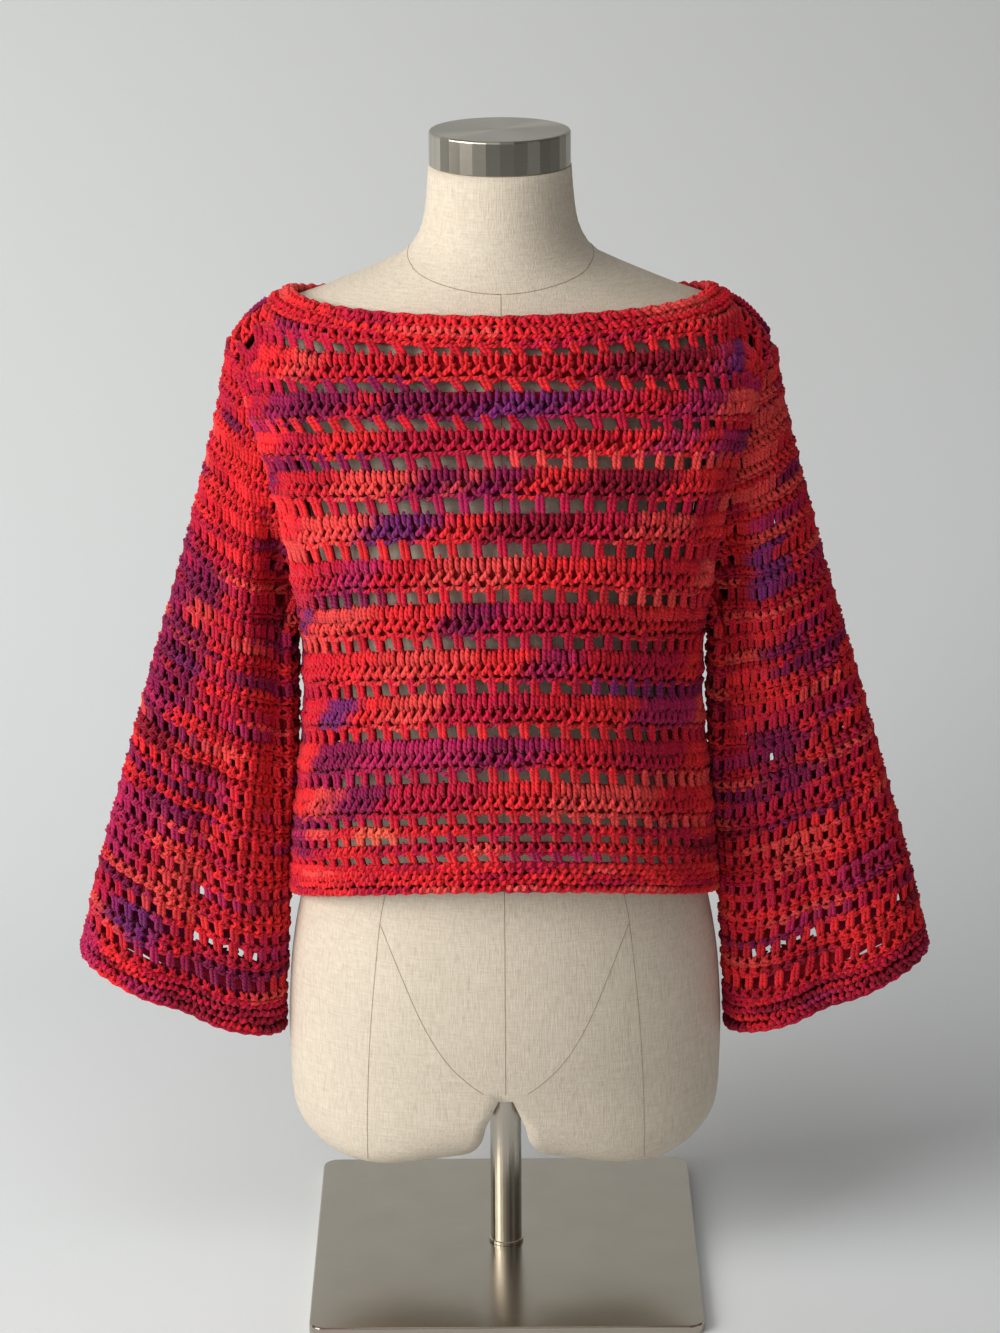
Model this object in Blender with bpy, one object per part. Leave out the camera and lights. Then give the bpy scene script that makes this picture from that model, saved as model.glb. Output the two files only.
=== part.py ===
"""Crochet sweater on a limbless dress form with a pole and a square steel base.

Metres, +Z up, the front faces -Y. The origin is the middle of the base's underside.
Every cloth piece is a wall on either side of a middle surface: the front and the back
run round the body from side seam to side seam, the sleeves hang from the armholes, and
four dense bands finish the neck, the hem and the cuffs.
"""

import math
from collections import namedtuple

import bmesh
import bpy
from mathutils import Vector

# Driving sizes of the stand
PLATE_SIDE = 0.300
PLATE_THICKNESS = 0.008
PLATE_CORNER = 0.012
PLATE_EDGE_ROUND = 0.0012
POLE_RADIUS = 0.0122
POLE_FOOT_RADIUS = 0.0134
POLE_FOOT_HEIGHT = 0.003
POLE_FOOT_ROUND = 0.0006
CAP_RADIUS = 0.0515
CAP_TOP = 0.8923
CAP_ROUND = 0.0018
PIECE_GAP = 0.0003
ROUND_SEGMENTS = 32

# Driving sizes of the cloth
WALL = 0.0034
BAND_WALL = 0.0042
SHOULDER_TOP_X = 0.1975
SHOULDER_TOP_Z = 0.7375
UNDERARM_X = 0.1490
UNDERARM_Z = 0.5290
ARMHOLE_HALF_DEPTH = 0.052
ARMHOLE_BOW = 1.8
ARMHOLE_SQUARENESS = 2.3
ARMHOLE_LEAN = 1.35
UNDERARM_STEP = 0.0030
UNDERARM_STEP_SHARE = 0.40
SEAM_GAP = 0.0003
CUFF_GAP = 0.00045

# Eyelet lace of the front
EYELETS_ACROSS = 27
EYELET_SPAN = 0.96
BACK_CELLS = 28
EYELET_OPEN_SHARE = 0.60
EYELET_HALF_HEIGHT = 0.0050
EYELET_SLANT = 0.24
TOP_EYELET_SHARE = 0.55
EYELET_ROW_HEIGHTS = (0.7490, 0.7261, 0.7006, 0.6754, 0.6455, 0.6145,
                      0.5811, 0.5462, 0.5121, 0.4779, 0.4430)
PLAIN_ROW_HEIGHTS = (0.4093, 0.3900)
BACK_ROW_HEIGHTS = (0.7535, 0.7450, 0.7261, 0.7006, 0.6754, 0.6455, 0.6145, 0.5900, 0.5760,
                    0.5660, 0.5350, 0.4950, 0.4430, 0.4050)

# Dress form, from the neck top to the split between the thighs
FormRing = namedtuple("FormRing", "height half_width front back")
FORM_RINGS = (
    FormRing(0.8667, 0.0520, 0.0520, 0.0530),
    FormRing(0.8469, 0.0535, 0.0530, 0.0545),
    FormRing(0.8256, 0.0565, 0.0550, 0.0580),
    FormRing(0.8100, 0.0635, 0.0585, 0.0630),
    FormRing(0.8000, 0.0735, 0.0615, 0.0680),
    FormRing(0.7900, 0.0960, 0.0640, 0.0685),
    FormRing(0.7800, 0.1210, 0.0665, 0.0690),
    FormRing(0.7720, 0.1420, 0.0690, 0.0700),
    FormRing(0.7680, 0.1565, 0.0705, 0.0705),
    FormRing(0.7630, 0.1655, 0.0722, 0.0718),
    FormRing(0.7530, 0.1705, 0.0765, 0.0765),
    FormRing(0.7350, 0.1715, 0.0850, 0.0850),
    FormRing(0.7150, 0.1680, 0.0930, 0.0930),
    FormRing(0.6900, 0.1610, 0.1010, 0.1000),
    FormRing(0.6600, 0.1530, 0.1105, 0.1045),
    FormRing(0.6200, 0.1440, 0.1215, 0.1045),
    FormRing(0.5850, 0.1395, 0.1260, 0.1020),
    FormRing(0.5500, 0.1350, 0.1230, 0.0980),
    FormRing(0.4900, 0.1280, 0.1050, 0.0880),
    FormRing(0.4300, 0.1220, 0.0890, 0.0800),
    FormRing(0.3800, 0.1320, 0.0910, 0.0900),
    FormRing(0.3400, 0.1460, 0.0970, 0.1015),
    FormRing(0.3000, 0.1565, 0.1010, 0.1110),
    FormRing(0.2600, 0.1634, 0.1030, 0.1190),
    FormRing(0.2155, 0.1667, 0.1020, 0.1200),
    FormRing(0.1900, 0.1672, 0.1000, 0.1165),
    FormRing(0.1700, 0.1668, 0.0975, 0.1120),
)
FORM_AROUND = 32
SPLIT_STEPS = 6

# Each rounded thigh stub, below the split
ThighRing = namedtuple("ThighRing", "height inner outer depth_share roundness")
THIGH_RINGS = (
    ThighRing(0.1480, 0.0158, 0.1652, 0.99, 0.08),
    ThighRing(0.1260, 0.0225, 0.1605, 0.93, 0.42),
    ThighRing(0.1110, 0.0350, 0.1505, 0.81, 0.80),
    ThighRing(0.1018, 0.0510, 0.1350, 0.61, 1.00),
    ThighRing(0.0978, 0.0680, 0.1190, 0.36, 1.00),
)

# Body lines: one row for each level of the panels, from the neck band down to the hem
BodyLine = namedtuple("BodyLine", "front_z front_y edge_z back_z back_y")
BODY_LINES = (
    BodyLine(0.7574, 0.0820, 0.7375, 0.7420, 0.0975),
    BodyLine(0.7490, 0.0865, 0.7262, 0.7330, 0.0995),
    BodyLine(0.7261, 0.0980, 0.7080, 0.7120, 0.1040),
    BodyLine(0.7006, 0.1075, 0.6850, 0.6880, 0.1080),
    BodyLine(0.6754, 0.1170, 0.6580, 0.6620, 0.1105),
    BodyLine(0.6455, 0.1260, 0.6270, 0.6310, 0.1120),
    BodyLine(0.6145, 0.1315, 0.5900, 0.5960, 0.1120),
    BodyLine(0.5811, 0.1340, 0.5490, 0.5560, 0.1110),
    BodyLine(0.5660, 0.1342, 0.5290, 0.5370, 0.1102),
    BodyLine(0.5462, 0.1340, 0.5060, 0.5140, 0.1095),
    BodyLine(0.5121, 0.1335, 0.4690, 0.4770, 0.1085),
    BodyLine(0.4430, 0.1300, 0.3970, 0.4040, 0.1095),
    BodyLine(0.3944, 0.1270, 0.3480, 0.3520, 0.1130),
    BodyLine(0.3715, 0.1250, 0.3270, 0.3300, 0.1155),
    BodyLine(0.3517, 0.1230, 0.3080, 0.3100, 0.1180),
)
LIFT_POWER = 1.3
NECK_LEVEL = BODY_LINES[0].front_z
UNDERARM_LEVEL = 0.5660
HEM_BAND_LEVEL = 0.3715
HEM_LEVEL = BODY_LINES[-1].front_z
HEM_GAP_LEVEL = 0.00025

# Half width of the body at the side seams
SideLine = namedtuple("SideLine", "height half_width")
SIDE_LINES = (
    SideLine(0.5290, 0.1490),
    SideLine(0.4900, 0.1467),
    SideLine(0.4500, 0.1475),
    SideLine(0.3900, 0.1543),
    SideLine(0.3500, 0.1583),
    SideLine(0.3050, 0.1612),
)

# Neck band, from its seam on the panels up to the open neck edge
NECK_CORNER = 0.86
NECK_BLEND = 0.055
NECK_BACK_SQUARENESS = 0.85
NECK_RISE_POWER = 1.3
SHOULDER_DROP_POWER = 1.5
BAND_SEAM_X = 0.1680
BAND_SEAM_Z = 0.7668
NECK_EDGE_X = 0.1520
NECK_EDGE_Z = 0.7755
NECK_EDGE_FRONT_Y = 0.0750
NECK_EDGE_FRONT_Z = 0.7694
NECK_EDGE_BACK_Y = 0.0905
NECK_EDGE_BACK_Z = 0.7575

# Sleeve sections, from the armhole down to the cuff's edge
SleeveRing = namedtuple(
    "SleeveRing", "share outer_x outer_z inner_x inner_z front back drop squareness valley")
SLEEVE_RINGS = (
    SleeveRing(0.00, SHOULDER_TOP_X, SHOULDER_TOP_Z, UNDERARM_X, UNDERARM_Z,
               0.052, 0.052, 0.556, 2.3, 0.00),
    SleeveRing(0.07, 0.2012, 0.7170, 0.1560, 0.5190, 0.051, 0.052, 0.58, 2.2, 0.16),
    SleeveRing(0.16, 0.2070, 0.6860, 0.1570, 0.5060, 0.050, 0.052, 0.63, 2.1, 0.46),
    SleeveRing(0.30, 0.2205, 0.6320, 0.1572, 0.4820, 0.049, 0.050, 0.72, 2.1, 0.42),
    SleeveRing(0.45, 0.2400, 0.5600, 0.1575, 0.4500, 0.046, 0.047, 0.84, 2.1, 0.20),
    SleeveRing(0.60, 0.2610, 0.4900, 0.1595, 0.4060, 0.043, 0.044, 0.95, 2.2, 0.05),
    SleeveRing(0.76, 0.2830, 0.4130, 0.1650, 0.3450, 0.041, 0.042, 1.05, 2.2, 0.00),
    SleeveRing(0.90, 0.3085, 0.3230, 0.1700, 0.2580, 0.041, 0.042, 1.15, 2.3, 0.00),
    SleeveRing(1.00, 0.3240, 0.2580, 0.1735, 0.1920, 0.042, 0.043, 1.20, 2.3, 0.00),
)
SLEEVE_STATIONS = (0.0, 0.035, 0.08, 0.16, 0.25, 0.35, 0.45, 0.56, 0.66, 0.76, 0.86, 0.955)
CUFF_START = 0.955
VALLEY_PLACE = 0.30
VALLEY_WIDTH = 0.22
CREASE_DEPTH = 0.010
CREASE_PLACE = 0.52
CREASE_WIDTH = 0.13
CREASE_START = 0.35
CREASE_BLEND = 0.40


def clear_scene():
    """Remove whatever the scene holds."""
    for item in list(bpy.data.objects):
        bpy.data.objects.remove(item, do_unlink=True)


def finish(name, colour, roughness, metallic=0.0):
    """A Principled material in the part's colour."""
    material = bpy.data.materials.new(name)
    material.use_nodes = True
    shader = material.node_tree.nodes["Principled BSDF"]
    shader.inputs["Base Color"].default_value = (*colour, 1.0)
    shader.inputs["Roughness"].default_value = roughness
    shader.inputs["Metallic"].default_value = metallic
    return material


def add_object(name, mesh_data, material, sharp_degrees=None):
    """Turn a bmesh into a named object with outward faces and smooth shading."""
    bmesh.ops.recalc_face_normals(mesh_data, faces=mesh_data.faces)
    if mesh_data.calc_volume(signed=True) < 0.0:
        bmesh.ops.reverse_faces(mesh_data, faces=mesh_data.faces)
    mesh = bpy.data.meshes.new(name)
    mesh_data.to_mesh(mesh)
    mesh_data.free()
    mesh.materials.append(material)
    mesh.shade_smooth()
    if sharp_degrees is not None:
        mesh.set_sharp_from_angle(angle=math.radians(sharp_degrees))
    item = bpy.data.objects.new(name, mesh)
    bpy.context.collection.objects.link(item)
    return item


def table_value(rows, key, column, value):
    """Read a column of a table at a value of its key, smooth between the rows."""
    keys = [getattr(row, key) for row in rows]
    values = [getattr(row, column) for row in rows]
    if keys[0] > keys[-1]:
        keys.reverse()
        values.reverse()
    value = min(max(value, keys[0]), keys[-1])
    last = len(keys) - 1
    cell = 0
    while cell < last - 1 and value > keys[cell + 1]:
        cell += 1

    def slope(index):
        low = max(index - 1, 0)
        high = min(index + 1, last)
        return (values[high] - values[low]) / (keys[high] - keys[low])

    span = keys[cell + 1] - keys[cell]
    share = (value - keys[cell]) / span
    rise = values[cell + 1] - values[cell]
    start = slope(cell) * span
    end = slope(cell + 1) * span
    cubic = start + end - 2.0 * rise
    square = 3.0 * rise - 2.0 * start - end
    return values[cell] + share * (start + share * (square + share * cubic))


def mix(first, second, share):
    """The value a share of the way from the first to the second."""
    return first + (second - first) * share


def superellipse(share, squareness):
    """Height of a rounded arch over 0 to 1, itself from 0 to 1 and back."""
    return max(0.0, 1.0 - abs(2.0 * share - 1.0) ** squareness) ** (1.0 / squareness)


def armhole_point(height, side, sign):
    """A point of the armhole loop; side is -1 for the front, sign is the wearer's side."""
    share = (height - UNDERARM_Z) / (SHOULDER_TOP_Z - UNDERARM_Z)
    share = min(max(share, 0.0), 1.0)
    across = mix(UNDERARM_X, SHOULDER_TOP_X, share ** ARMHOLE_BOW)
    depth = ARMHOLE_HALF_DEPTH * superellipse(share, ARMHOLE_SQUARENESS)
    return Vector((sign * across, side * depth, mix(UNDERARM_Z, SHOULDER_TOP_Z, share)))


def armhole_frame(height, side, sign):
    """The cloth's outward direction at the armhole, and the way it runs into the sleeve."""
    step = 0.002
    low = max(height - step, UNDERARM_Z)
    high = min(height + step, SHOULDER_TOP_Z)
    run = armhole_point(high, side, sign) - armhole_point(low, side, sign)
    if high >= SHOULDER_TOP_Z:
        run = Vector((0.0, -side, 0.0))
    elif low <= UNDERARM_Z:
        run = Vector((0.0, side, 0.0))
    run.normalize()
    through = Vector((sign * (SHOULDER_TOP_Z - UNDERARM_Z), 0.0,
                      UNDERARM_X - SHOULDER_TOP_X)).normalized()
    in_plane = (run.cross(through) * (side * sign)).normalized()
    share = (height - UNDERARM_Z) / (SHOULDER_TOP_Z - UNDERARM_Z)
    lean = ARMHOLE_LEAN * min(max(share, 0.0), 1.0) ** 2
    outward = (in_plane + through * lean).normalized()
    flow = (through - in_plane * lean).normalized()
    return outward, flow


def edge_point(level, side, sign):
    """The end of a body row: on the armhole, or on the side seam below it."""
    height = table_value(BODY_LINES, "front_z", "edge_z", level)
    if level >= UNDERARM_LEVEL:
        return armhole_point(max(height, UNDERARM_Z), side, sign)
    half_width = table_value(SIDE_LINES, "height", "half_width", height)
    return Vector((sign * half_width, 0.0, height))


def plain_body_point(across, level, side):
    """A body row before the neckline shapes it; across runs from -1 to 1."""
    sign = -1.0 if across < 0.0 else 1.0
    edge = edge_point(level, side, sign)
    prefix = "front" if side < 0 else "back"
    centre_z = level if side < 0 else table_value(BODY_LINES, "front_z", "back_z", level)
    centre_y = side * table_value(BODY_LINES, "front_z", prefix + "_y", level)
    turn = abs(across) * math.pi / 2.0
    bulge = math.cos(turn)
    return Vector((edge.x * math.sin(turn),
                   mix(edge.y, centre_y, bulge),
                   mix(edge.z, centre_z, max(bulge, 0.0) ** LIFT_POWER)))


def neck_loop_point(turn, side, half_width, side_z, centre_y, centre_z):
    """A point of a loop round the neck; turn runs from 0 at the middle to a quarter."""
    bow = math.cos(turn)
    depth = bow if side < 0 else max(bow, 0.0) ** NECK_BACK_SQUARENESS
    rise = (1.0 - bow) ** NECK_RISE_POWER
    return Vector((half_width * math.sin(turn), side * centre_y * depth,
                   mix(centre_z, side_z, rise)))


def neck_seam_point(turn, side):
    """The neck band's seam on the panels."""
    line = BODY_LINES[0]
    if side < 0:
        return neck_loop_point(turn, side, BAND_SEAM_X, BAND_SEAM_Z, line.front_y, line.front_z)
    return neck_loop_point(turn, side, BAND_SEAM_X, BAND_SEAM_Z, line.back_y, line.back_z)


def neck_edge_point(turn, side):
    """The open neck edge."""
    if side < 0:
        return neck_loop_point(turn, side, NECK_EDGE_X, NECK_EDGE_Z,
                               NECK_EDGE_FRONT_Y, NECK_EDGE_FRONT_Z)
    return neck_loop_point(turn, side, NECK_EDGE_X, NECK_EDGE_Z,
                           NECK_EDGE_BACK_Y, NECK_EDGE_BACK_Z)


def neck_normal(turn, side, sign):
    """Outward direction of the neck band."""
    step = 0.01
    if turn > math.pi / 2.0 - step:
        run = Vector((0.0, 1.0, 0.0))
    else:
        run = neck_seam_point(turn + step, side) - neck_seam_point(turn - step, side)
    climb = neck_edge_point(turn, side) - neck_seam_point(turn, side)
    outward = run.cross(climb).normalized()
    away = Vector((0.3 * math.sin(turn), side * math.cos(turn), 0.5))
    if outward.dot(away) < 0.0:
        outward.negate()
    outward.x *= sign
    return outward


def shoulder_seam_point(share):
    """The shoulder seam, from the neck band out to the armhole's top."""
    across = mix(BAND_SEAM_X, SHOULDER_TOP_X, share)
    drop = (BAND_SEAM_Z - SHOULDER_TOP_Z) * max(share, 0.0) ** SHOULDER_DROP_POWER
    return Vector((across, 0.0, BAND_SEAM_Z - drop))


def top_line_point(across, side):
    """The panel's top edge: along the neck band, then along the shoulder seam."""
    sign = -1.0 if across < 0.0 else 1.0
    reach = abs(across)
    if reach <= NECK_CORNER:
        point = neck_seam_point(reach / NECK_CORNER * math.pi / 2.0, side)
    else:
        point = shoulder_seam_point((reach - NECK_CORNER) / (1.0 - NECK_CORNER))
    point.x *= sign
    return point


def body_point(across, level, side):
    """Middle surface of the front (side -1) or the back (side 1)."""
    point = plain_body_point(across, level, side)
    down = NECK_LEVEL - level
    if down < NECK_BLEND:
        weight = (1.0 - down / NECK_BLEND) ** 2
        shift = top_line_point(across, side) - plain_body_point(across, NECK_LEVEL, side)
        point += shift * weight
    return point


def body_normal(across, level, side):
    """Outward direction of a body panel, shared with its neighbours at the seams."""
    sign = -1.0 if across < 0.0 else 1.0
    if abs(across) > 0.999 and level >= UNDERARM_LEVEL - 1e-6:
        height = table_value(BODY_LINES, "front_z", "edge_z", level)
        return armhole_frame(height, side, sign)[0]
    if NECK_LEVEL - level < 1e-6:
        if abs(across) > NECK_CORNER + 1e-6:
            share = (abs(across) - NECK_CORNER) / (1.0 - NECK_CORNER)
            run = shoulder_seam_point(share) - shoulder_seam_point(share - 0.02)
            return Vector((-sign * run.z, 0.0, run.x)).normalized()
        return neck_normal(abs(across) / NECK_CORNER * math.pi / 2.0, side, sign)
    step = 0.004
    low = max(across - step, -1.0)
    high = min(across + step, 1.0)
    run = body_point(high, level, side) - body_point(low, level, side)
    upper = min(level + step, NECK_LEVEL)
    lower = max(level - step, HEM_LEVEL)
    climb = body_point(across, upper, side) - body_point(across, lower, side)
    outward = run.cross(climb).normalized()
    return outward if side < 0 else -outward


def sleeve_point(turn, share, sign):
    """Middle surface of a sleeve; turn runs round it from the outer fold by the front."""
    def value(column):
        return table_value(SLEEVE_RINGS, "share", column, share)

    inward = (1.0 - math.cos(turn)) / 2.0
    height_share = max(1.0 - inward, 0.0) ** value("drop")
    at_front = math.sin(turn) > 0.0
    depth = value("front") if at_front else value("back")
    arch = superellipse(height_share, value("squareness"))
    valley = math.exp(-((height_share - VALLEY_PLACE) / VALLEY_WIDTH) ** 2)
    crease = math.exp(-((inward - CREASE_PLACE) / CREASE_WIDTH) ** 2)
    crease *= CREASE_DEPTH * min(max((share - CREASE_START) / CREASE_BLEND, 0.0), 1.0)
    reach = depth * arch * (1.0 - value("valley") * valley) - crease
    return Vector((sign * mix(value("outer_x"), value("inner_x"), inward),
                   -reach if at_front else reach,
                   mix(value("inner_z"), value("outer_z"), height_share)))


def armhole_height(turn):
    """Height of the armhole where a turn of the sleeve meets it."""
    inward = (1.0 - math.cos(turn)) / 2.0
    return mix(UNDERARM_Z, SHOULDER_TOP_Z, max(1.0 - inward, 0.0) ** (1.0 / ARMHOLE_BOW))


def sleeve_normal(turn, share, sign):
    """Outward direction of a sleeve, equal to the armhole's where it starts."""
    if share < 1e-6:
        side = -1.0 if math.sin(turn) > 0.0 else 1.0
        return armhole_frame(armhole_height(turn), side, sign)[0]
    step = 0.02
    run = sleeve_point(turn + step, share, sign) - sleeve_point(turn - step, share, sign)
    upper = max(share - step, 0.0)
    lower = min(share + step, 1.0)
    climb = sleeve_point(turn, upper, sign) - sleeve_point(turn, lower, sign)
    outward = run.cross(climb).normalized()
    return outward * -sign


def wall_object(name, points, normals, thickness, material, closed=False, open_cells=()):
    """A cloth wall on a grid of middle points, with some of its cells left open."""
    rows = len(points)
    columns = len(points[0])
    work = bmesh.new()
    half = thickness / 2.0
    outer = [[work.verts.new(point + normal * half) for point, normal in zip(*pair)]
             for pair in zip(points, normals)]
    inner = [[work.verts.new(point - normal * half) for point, normal in zip(*pair)]
             for pair in zip(points, normals)]
    cells_across = columns if closed else columns - 1
    cells = {(row, column) for row in range(rows - 1) for column in range(cells_across)}
    cells -= set(open_cells)

    def corner(row, column):
        return row, column % columns

    for row, column in sorted(cells):
        ring = (corner(row, column), corner(row, column + 1),
                corner(row + 1, column + 1), corner(row + 1, column))
        work.faces.new([outer[r][c] for r, c in ring])
        work.faces.new([inner[r][c] for r, c in reversed(ring)])
        beyond = ((row - 1, column), (row, column + 1), (row + 1, column), (row, column - 1))
        for index, neighbour in enumerate(beyond):
            if closed:
                neighbour = (neighbour[0], neighbour[1] % columns)
            if neighbour in cells:
                continue
            start = ring[index]
            end = ring[(index + 1) % 4]
            work.faces.new((outer[end[0]][end[1]], outer[start[0]][start[1]],
                            inner[start[0]][start[1]], inner[end[0]][end[1]]))
    return add_object(name, work, material, sharp_degrees=40.0)


def side_step(across, level, side):
    """The way a panel's end draws back from its sleeve and from the other panel."""
    sign = -1.0 if across < 0.0 else 1.0
    apart = Vector((0.0, side, 0.0))
    if level < UNDERARM_LEVEL - 1e-6:
        return apart
    height = table_value(BODY_LINES, "front_z", "edge_z", level)
    step = -armhole_frame(height, side, sign)[1]
    at_corner = level > NECK_LEVEL - 1e-6 or level < UNDERARM_LEVEL + 1e-6
    return step + apart if at_corner else step


def body_panel(name, side, across_lines, levels, material, open_cells=()):
    """The front or the back between its side seams, its neck band and its hem band."""
    points = []
    normals = []
    for level, line in zip(levels, across_lines):
        points.append([body_point(across, level, side) for across in line])
        normals.append([body_normal(across, level, side) for across in line])
    half_gap = SEAM_GAP / 2.0
    for row, (level, line) in enumerate(zip(levels, across_lines)):
        for column in (0, -1):
            points[row][column] += side_step(line[column], level, side) * half_gap
    for column, across in enumerate(across_lines[0]):
        away = (points[1][column] - points[0][column]).normalized()
        if abs(across) > NECK_CORNER - 1e-6:
            away = Vector((0.0, side, 0.0))
        if abs(across) < 0.999:
            points[0][column] += away * half_gap
    for column in range(len(points[-1])):
        away = (points[-2][column] - points[-1][column]).normalized()
        points[-1][column] += away * half_gap
    return wall_object(name, points, normals, WALL, material, open_cells=open_cells)


def snapped(line):
    """A grid line across a panel, with the neck band's corners on it."""
    for corner in (-NECK_CORNER, NECK_CORNER):
        nearest = min(range(len(line)), key=lambda index: abs(line[index] - corner))
        line[nearest] = corner
    return line


def front_across_line(slant):
    """Grid lines across the front: an opening and a post for each eyelet."""
    pitch = 2.0 * EYELET_SPAN / EYELETS_ACROSS
    opening = pitch * EYELET_OPEN_SHARE
    shift = slant * pitch
    line = [-1.0]
    for index in range(EYELETS_ACROSS):
        start = -EYELET_SPAN + pitch * (index + 0.5) - opening / 2.0 + shift
        line.append(start)
        line.append(start + opening)
    line.append(1.0)
    return line


def back_across_line():
    """Evenly spaced grid lines across the back."""
    return snapped([-1.0 + 2.0 * index / BACK_CELLS for index in range(BACK_CELLS + 1)])


def front_grid():
    """The front's levels, the grid line across each of them, and the cells left open."""
    levels = [NECK_LEVEL]
    lines = [snapped(front_across_line(-EYELET_SLANT / 2.0))]
    eyelet_cells = []
    for centre in EYELET_ROW_HEIGHTS:
        if levels[-1] > UNDERARM_LEVEL > centre:
            levels.append(UNDERARM_LEVEL)
            lines.append(front_across_line(0.0))
        half = min(EYELET_HALF_HEIGHT, (NECK_LEVEL - centre) * TOP_EYELET_SHARE)
        levels += [centre + half, centre - half]
        lines += [front_across_line(-EYELET_SLANT / 2.0), front_across_line(EYELET_SLANT / 2.0)]
        row = len(levels) - 2
        eyelet_cells += [(row, 1 + 2 * index) for index in range(EYELETS_ACROSS)]
    for level in (*PLAIN_ROW_HEIGHTS, HEM_BAND_LEVEL):
        levels.append(level)
        lines.append(front_across_line(0.0))
    return levels, lines, eyelet_cells


def back_levels():
    """The back's levels, from the neck band to the hem band."""
    return [NECK_LEVEL, *BACK_ROW_HEIGHTS, HEM_BAND_LEVEL]


def build_front(material):
    """The front panel, with its rows of eyelets cut through."""
    levels, lines, eyelet_cells = front_grid()
    return body_panel("front", -1, lines, levels, material, open_cells=eyelet_cells)


def build_back(material):
    """The back panel, a plain wall."""
    levels = back_levels()
    return body_panel("back", 1, [back_across_line()] * len(levels), levels, material)


def band_loop(front_line, back_line):
    """Places round the body, each a share across and a side, over the front and back."""
    around = [(across, -1) for across in front_line]
    return around + [(across, 1) for across in reversed(back_line[1:-1])]


def build_hem_band(material):
    """The dense band round the hem, front and back in one tube."""
    around = band_loop(front_across_line(0.0), back_across_line())
    levels = (HEM_BAND_LEVEL - HEM_GAP_LEVEL, HEM_LEVEL)
    points = [[body_point(across, level, side) for across, side in around]
              for level in levels]
    normals = [[body_normal(across, level, side) for across, side in around]
               for level in levels]
    return wall_object("hem_band", points, normals, BAND_WALL, material, closed=True)


def build_neck_band(material):
    """The dense band round the open neck."""
    front_line = [across for across in front_grid()[1][0] if abs(across) <= NECK_CORNER]
    back_line = [across for across in back_across_line() if abs(across) <= NECK_CORNER]
    seam_row = []
    edge_row = []
    normal_row = []
    for across, side in band_loop(front_line, back_line):
        turn = abs(across) / NECK_CORNER * math.pi / 2.0
        sign = -1.0 if across < 0.0 else 1.0
        seam = neck_seam_point(turn, side)
        edge = neck_edge_point(turn, side)
        seam.x *= sign
        edge.x *= sign
        seam += (edge - seam).normalized() * SEAM_GAP
        seam_row.append(seam)
        edge_row.append(edge)
        normal_row.append(neck_normal(turn, side, sign))
    return wall_object("neck_band", [edge_row, seam_row], [normal_row, normal_row],
                       BAND_WALL, material, closed=True)


def sleeve_turns():
    """Turns round a sleeve that meet the rows of the front and the back at the armhole."""
    def turn_at(level):
        height = table_value(BODY_LINES, "front_z", "edge_z", level)
        share = (height - UNDERARM_Z) / (SHOULDER_TOP_Z - UNDERARM_Z)
        return math.acos(min(max(2.0 * max(share, 0.0) ** ARMHOLE_BOW - 1.0, -1.0), 1.0))

    front = [turn_at(level) for level in front_grid()[0] if level >= UNDERARM_LEVEL]
    back = [2.0 * math.pi - turn_at(level) for level in reversed(back_levels())
            if level > UNDERARM_LEVEL]
    return front + back[:-1]


def sleeve_grid(stations, sign, start_shift):
    """Middle points and outward directions of a sleeve at some of its stations."""
    turns = sleeve_turns()
    points = [[sleeve_point(turn, share, sign) for turn in turns] for share in stations]
    normals = [[sleeve_normal(turn, share, sign) for turn in turns] for share in stations]
    for column, turn in enumerate(turns):
        away = (points[1][column] - points[0][column]).normalized()
        shift = start_shift
        if stations[0] == 0.0:
            side = -1.0 if math.sin(turn) > 0.0 else 1.0
            height = armhole_height(turn)
            away = armhole_frame(height, side, sign)[1]
            share = (height - UNDERARM_Z) / (SHOULDER_TOP_Z - UNDERARM_Z)
            shift += UNDERARM_STEP * max(1.0 - share / UNDERARM_STEP_SHARE, 0.0) ** 2
        points[0][column] = points[0][column] + away * shift
    return points, normals


def build_sleeve(name, sign, material):
    """A bell sleeve, an open tube from the armhole to the cuff band."""
    points, normals = sleeve_grid(SLEEVE_STATIONS, sign, start_shift=SEAM_GAP / 2.0)
    return wall_object(name, points, normals, WALL, material, closed=True)


def build_cuff(name, sign, material):
    """The dense band at the end of a sleeve."""
    points, normals = sleeve_grid((CUFF_START, 1.0), sign, start_shift=CUFF_GAP)
    return wall_object(name, points, normals, BAND_WALL, material, closed=True)


def form_ring_points(ring):
    """Points round the dress form at one height, none of them on the centre line."""
    points = []
    for index in range(FORM_AROUND):
        angle = 2.0 * math.pi * (index + 0.5) / FORM_AROUND
        depth = ring.front if math.cos(angle) > 0.0 else ring.back
        points.append(Vector((ring.half_width * math.sin(angle),
                              -depth * math.cos(angle), ring.height)))
    return points


def thigh_ring_points(top_points, ring, sign):
    """The top outline of a thigh stub, narrowed and rounded for a lower ring."""
    top = FORM_RINGS[-1]
    top_inner = min(abs(point.x) for point in top_points)
    top_middle = (top_inner + top.half_width) / 2.0
    centre_y = (top.back - top.front) / 2.0
    half_depth = (top.back + top.front) / 2.0
    half_width = (ring.outer - ring.inner) / 2.0
    middle = (ring.outer + ring.inner) / 2.0
    points = []
    for point in top_points:
        across = (abs(point.x) - top_middle) / (top.half_width - top_middle)
        along = (point.y - centre_y) / half_depth
        length = math.hypot(across, along)
        round_across = across / length
        round_along = along / length
        points.append(Vector((
            sign * (middle + half_width * mix(across, round_across, ring.roundness)),
            centre_y + half_depth * ring.depth_share * mix(along, round_along, ring.roundness),
            ring.height)))
    return points


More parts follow.
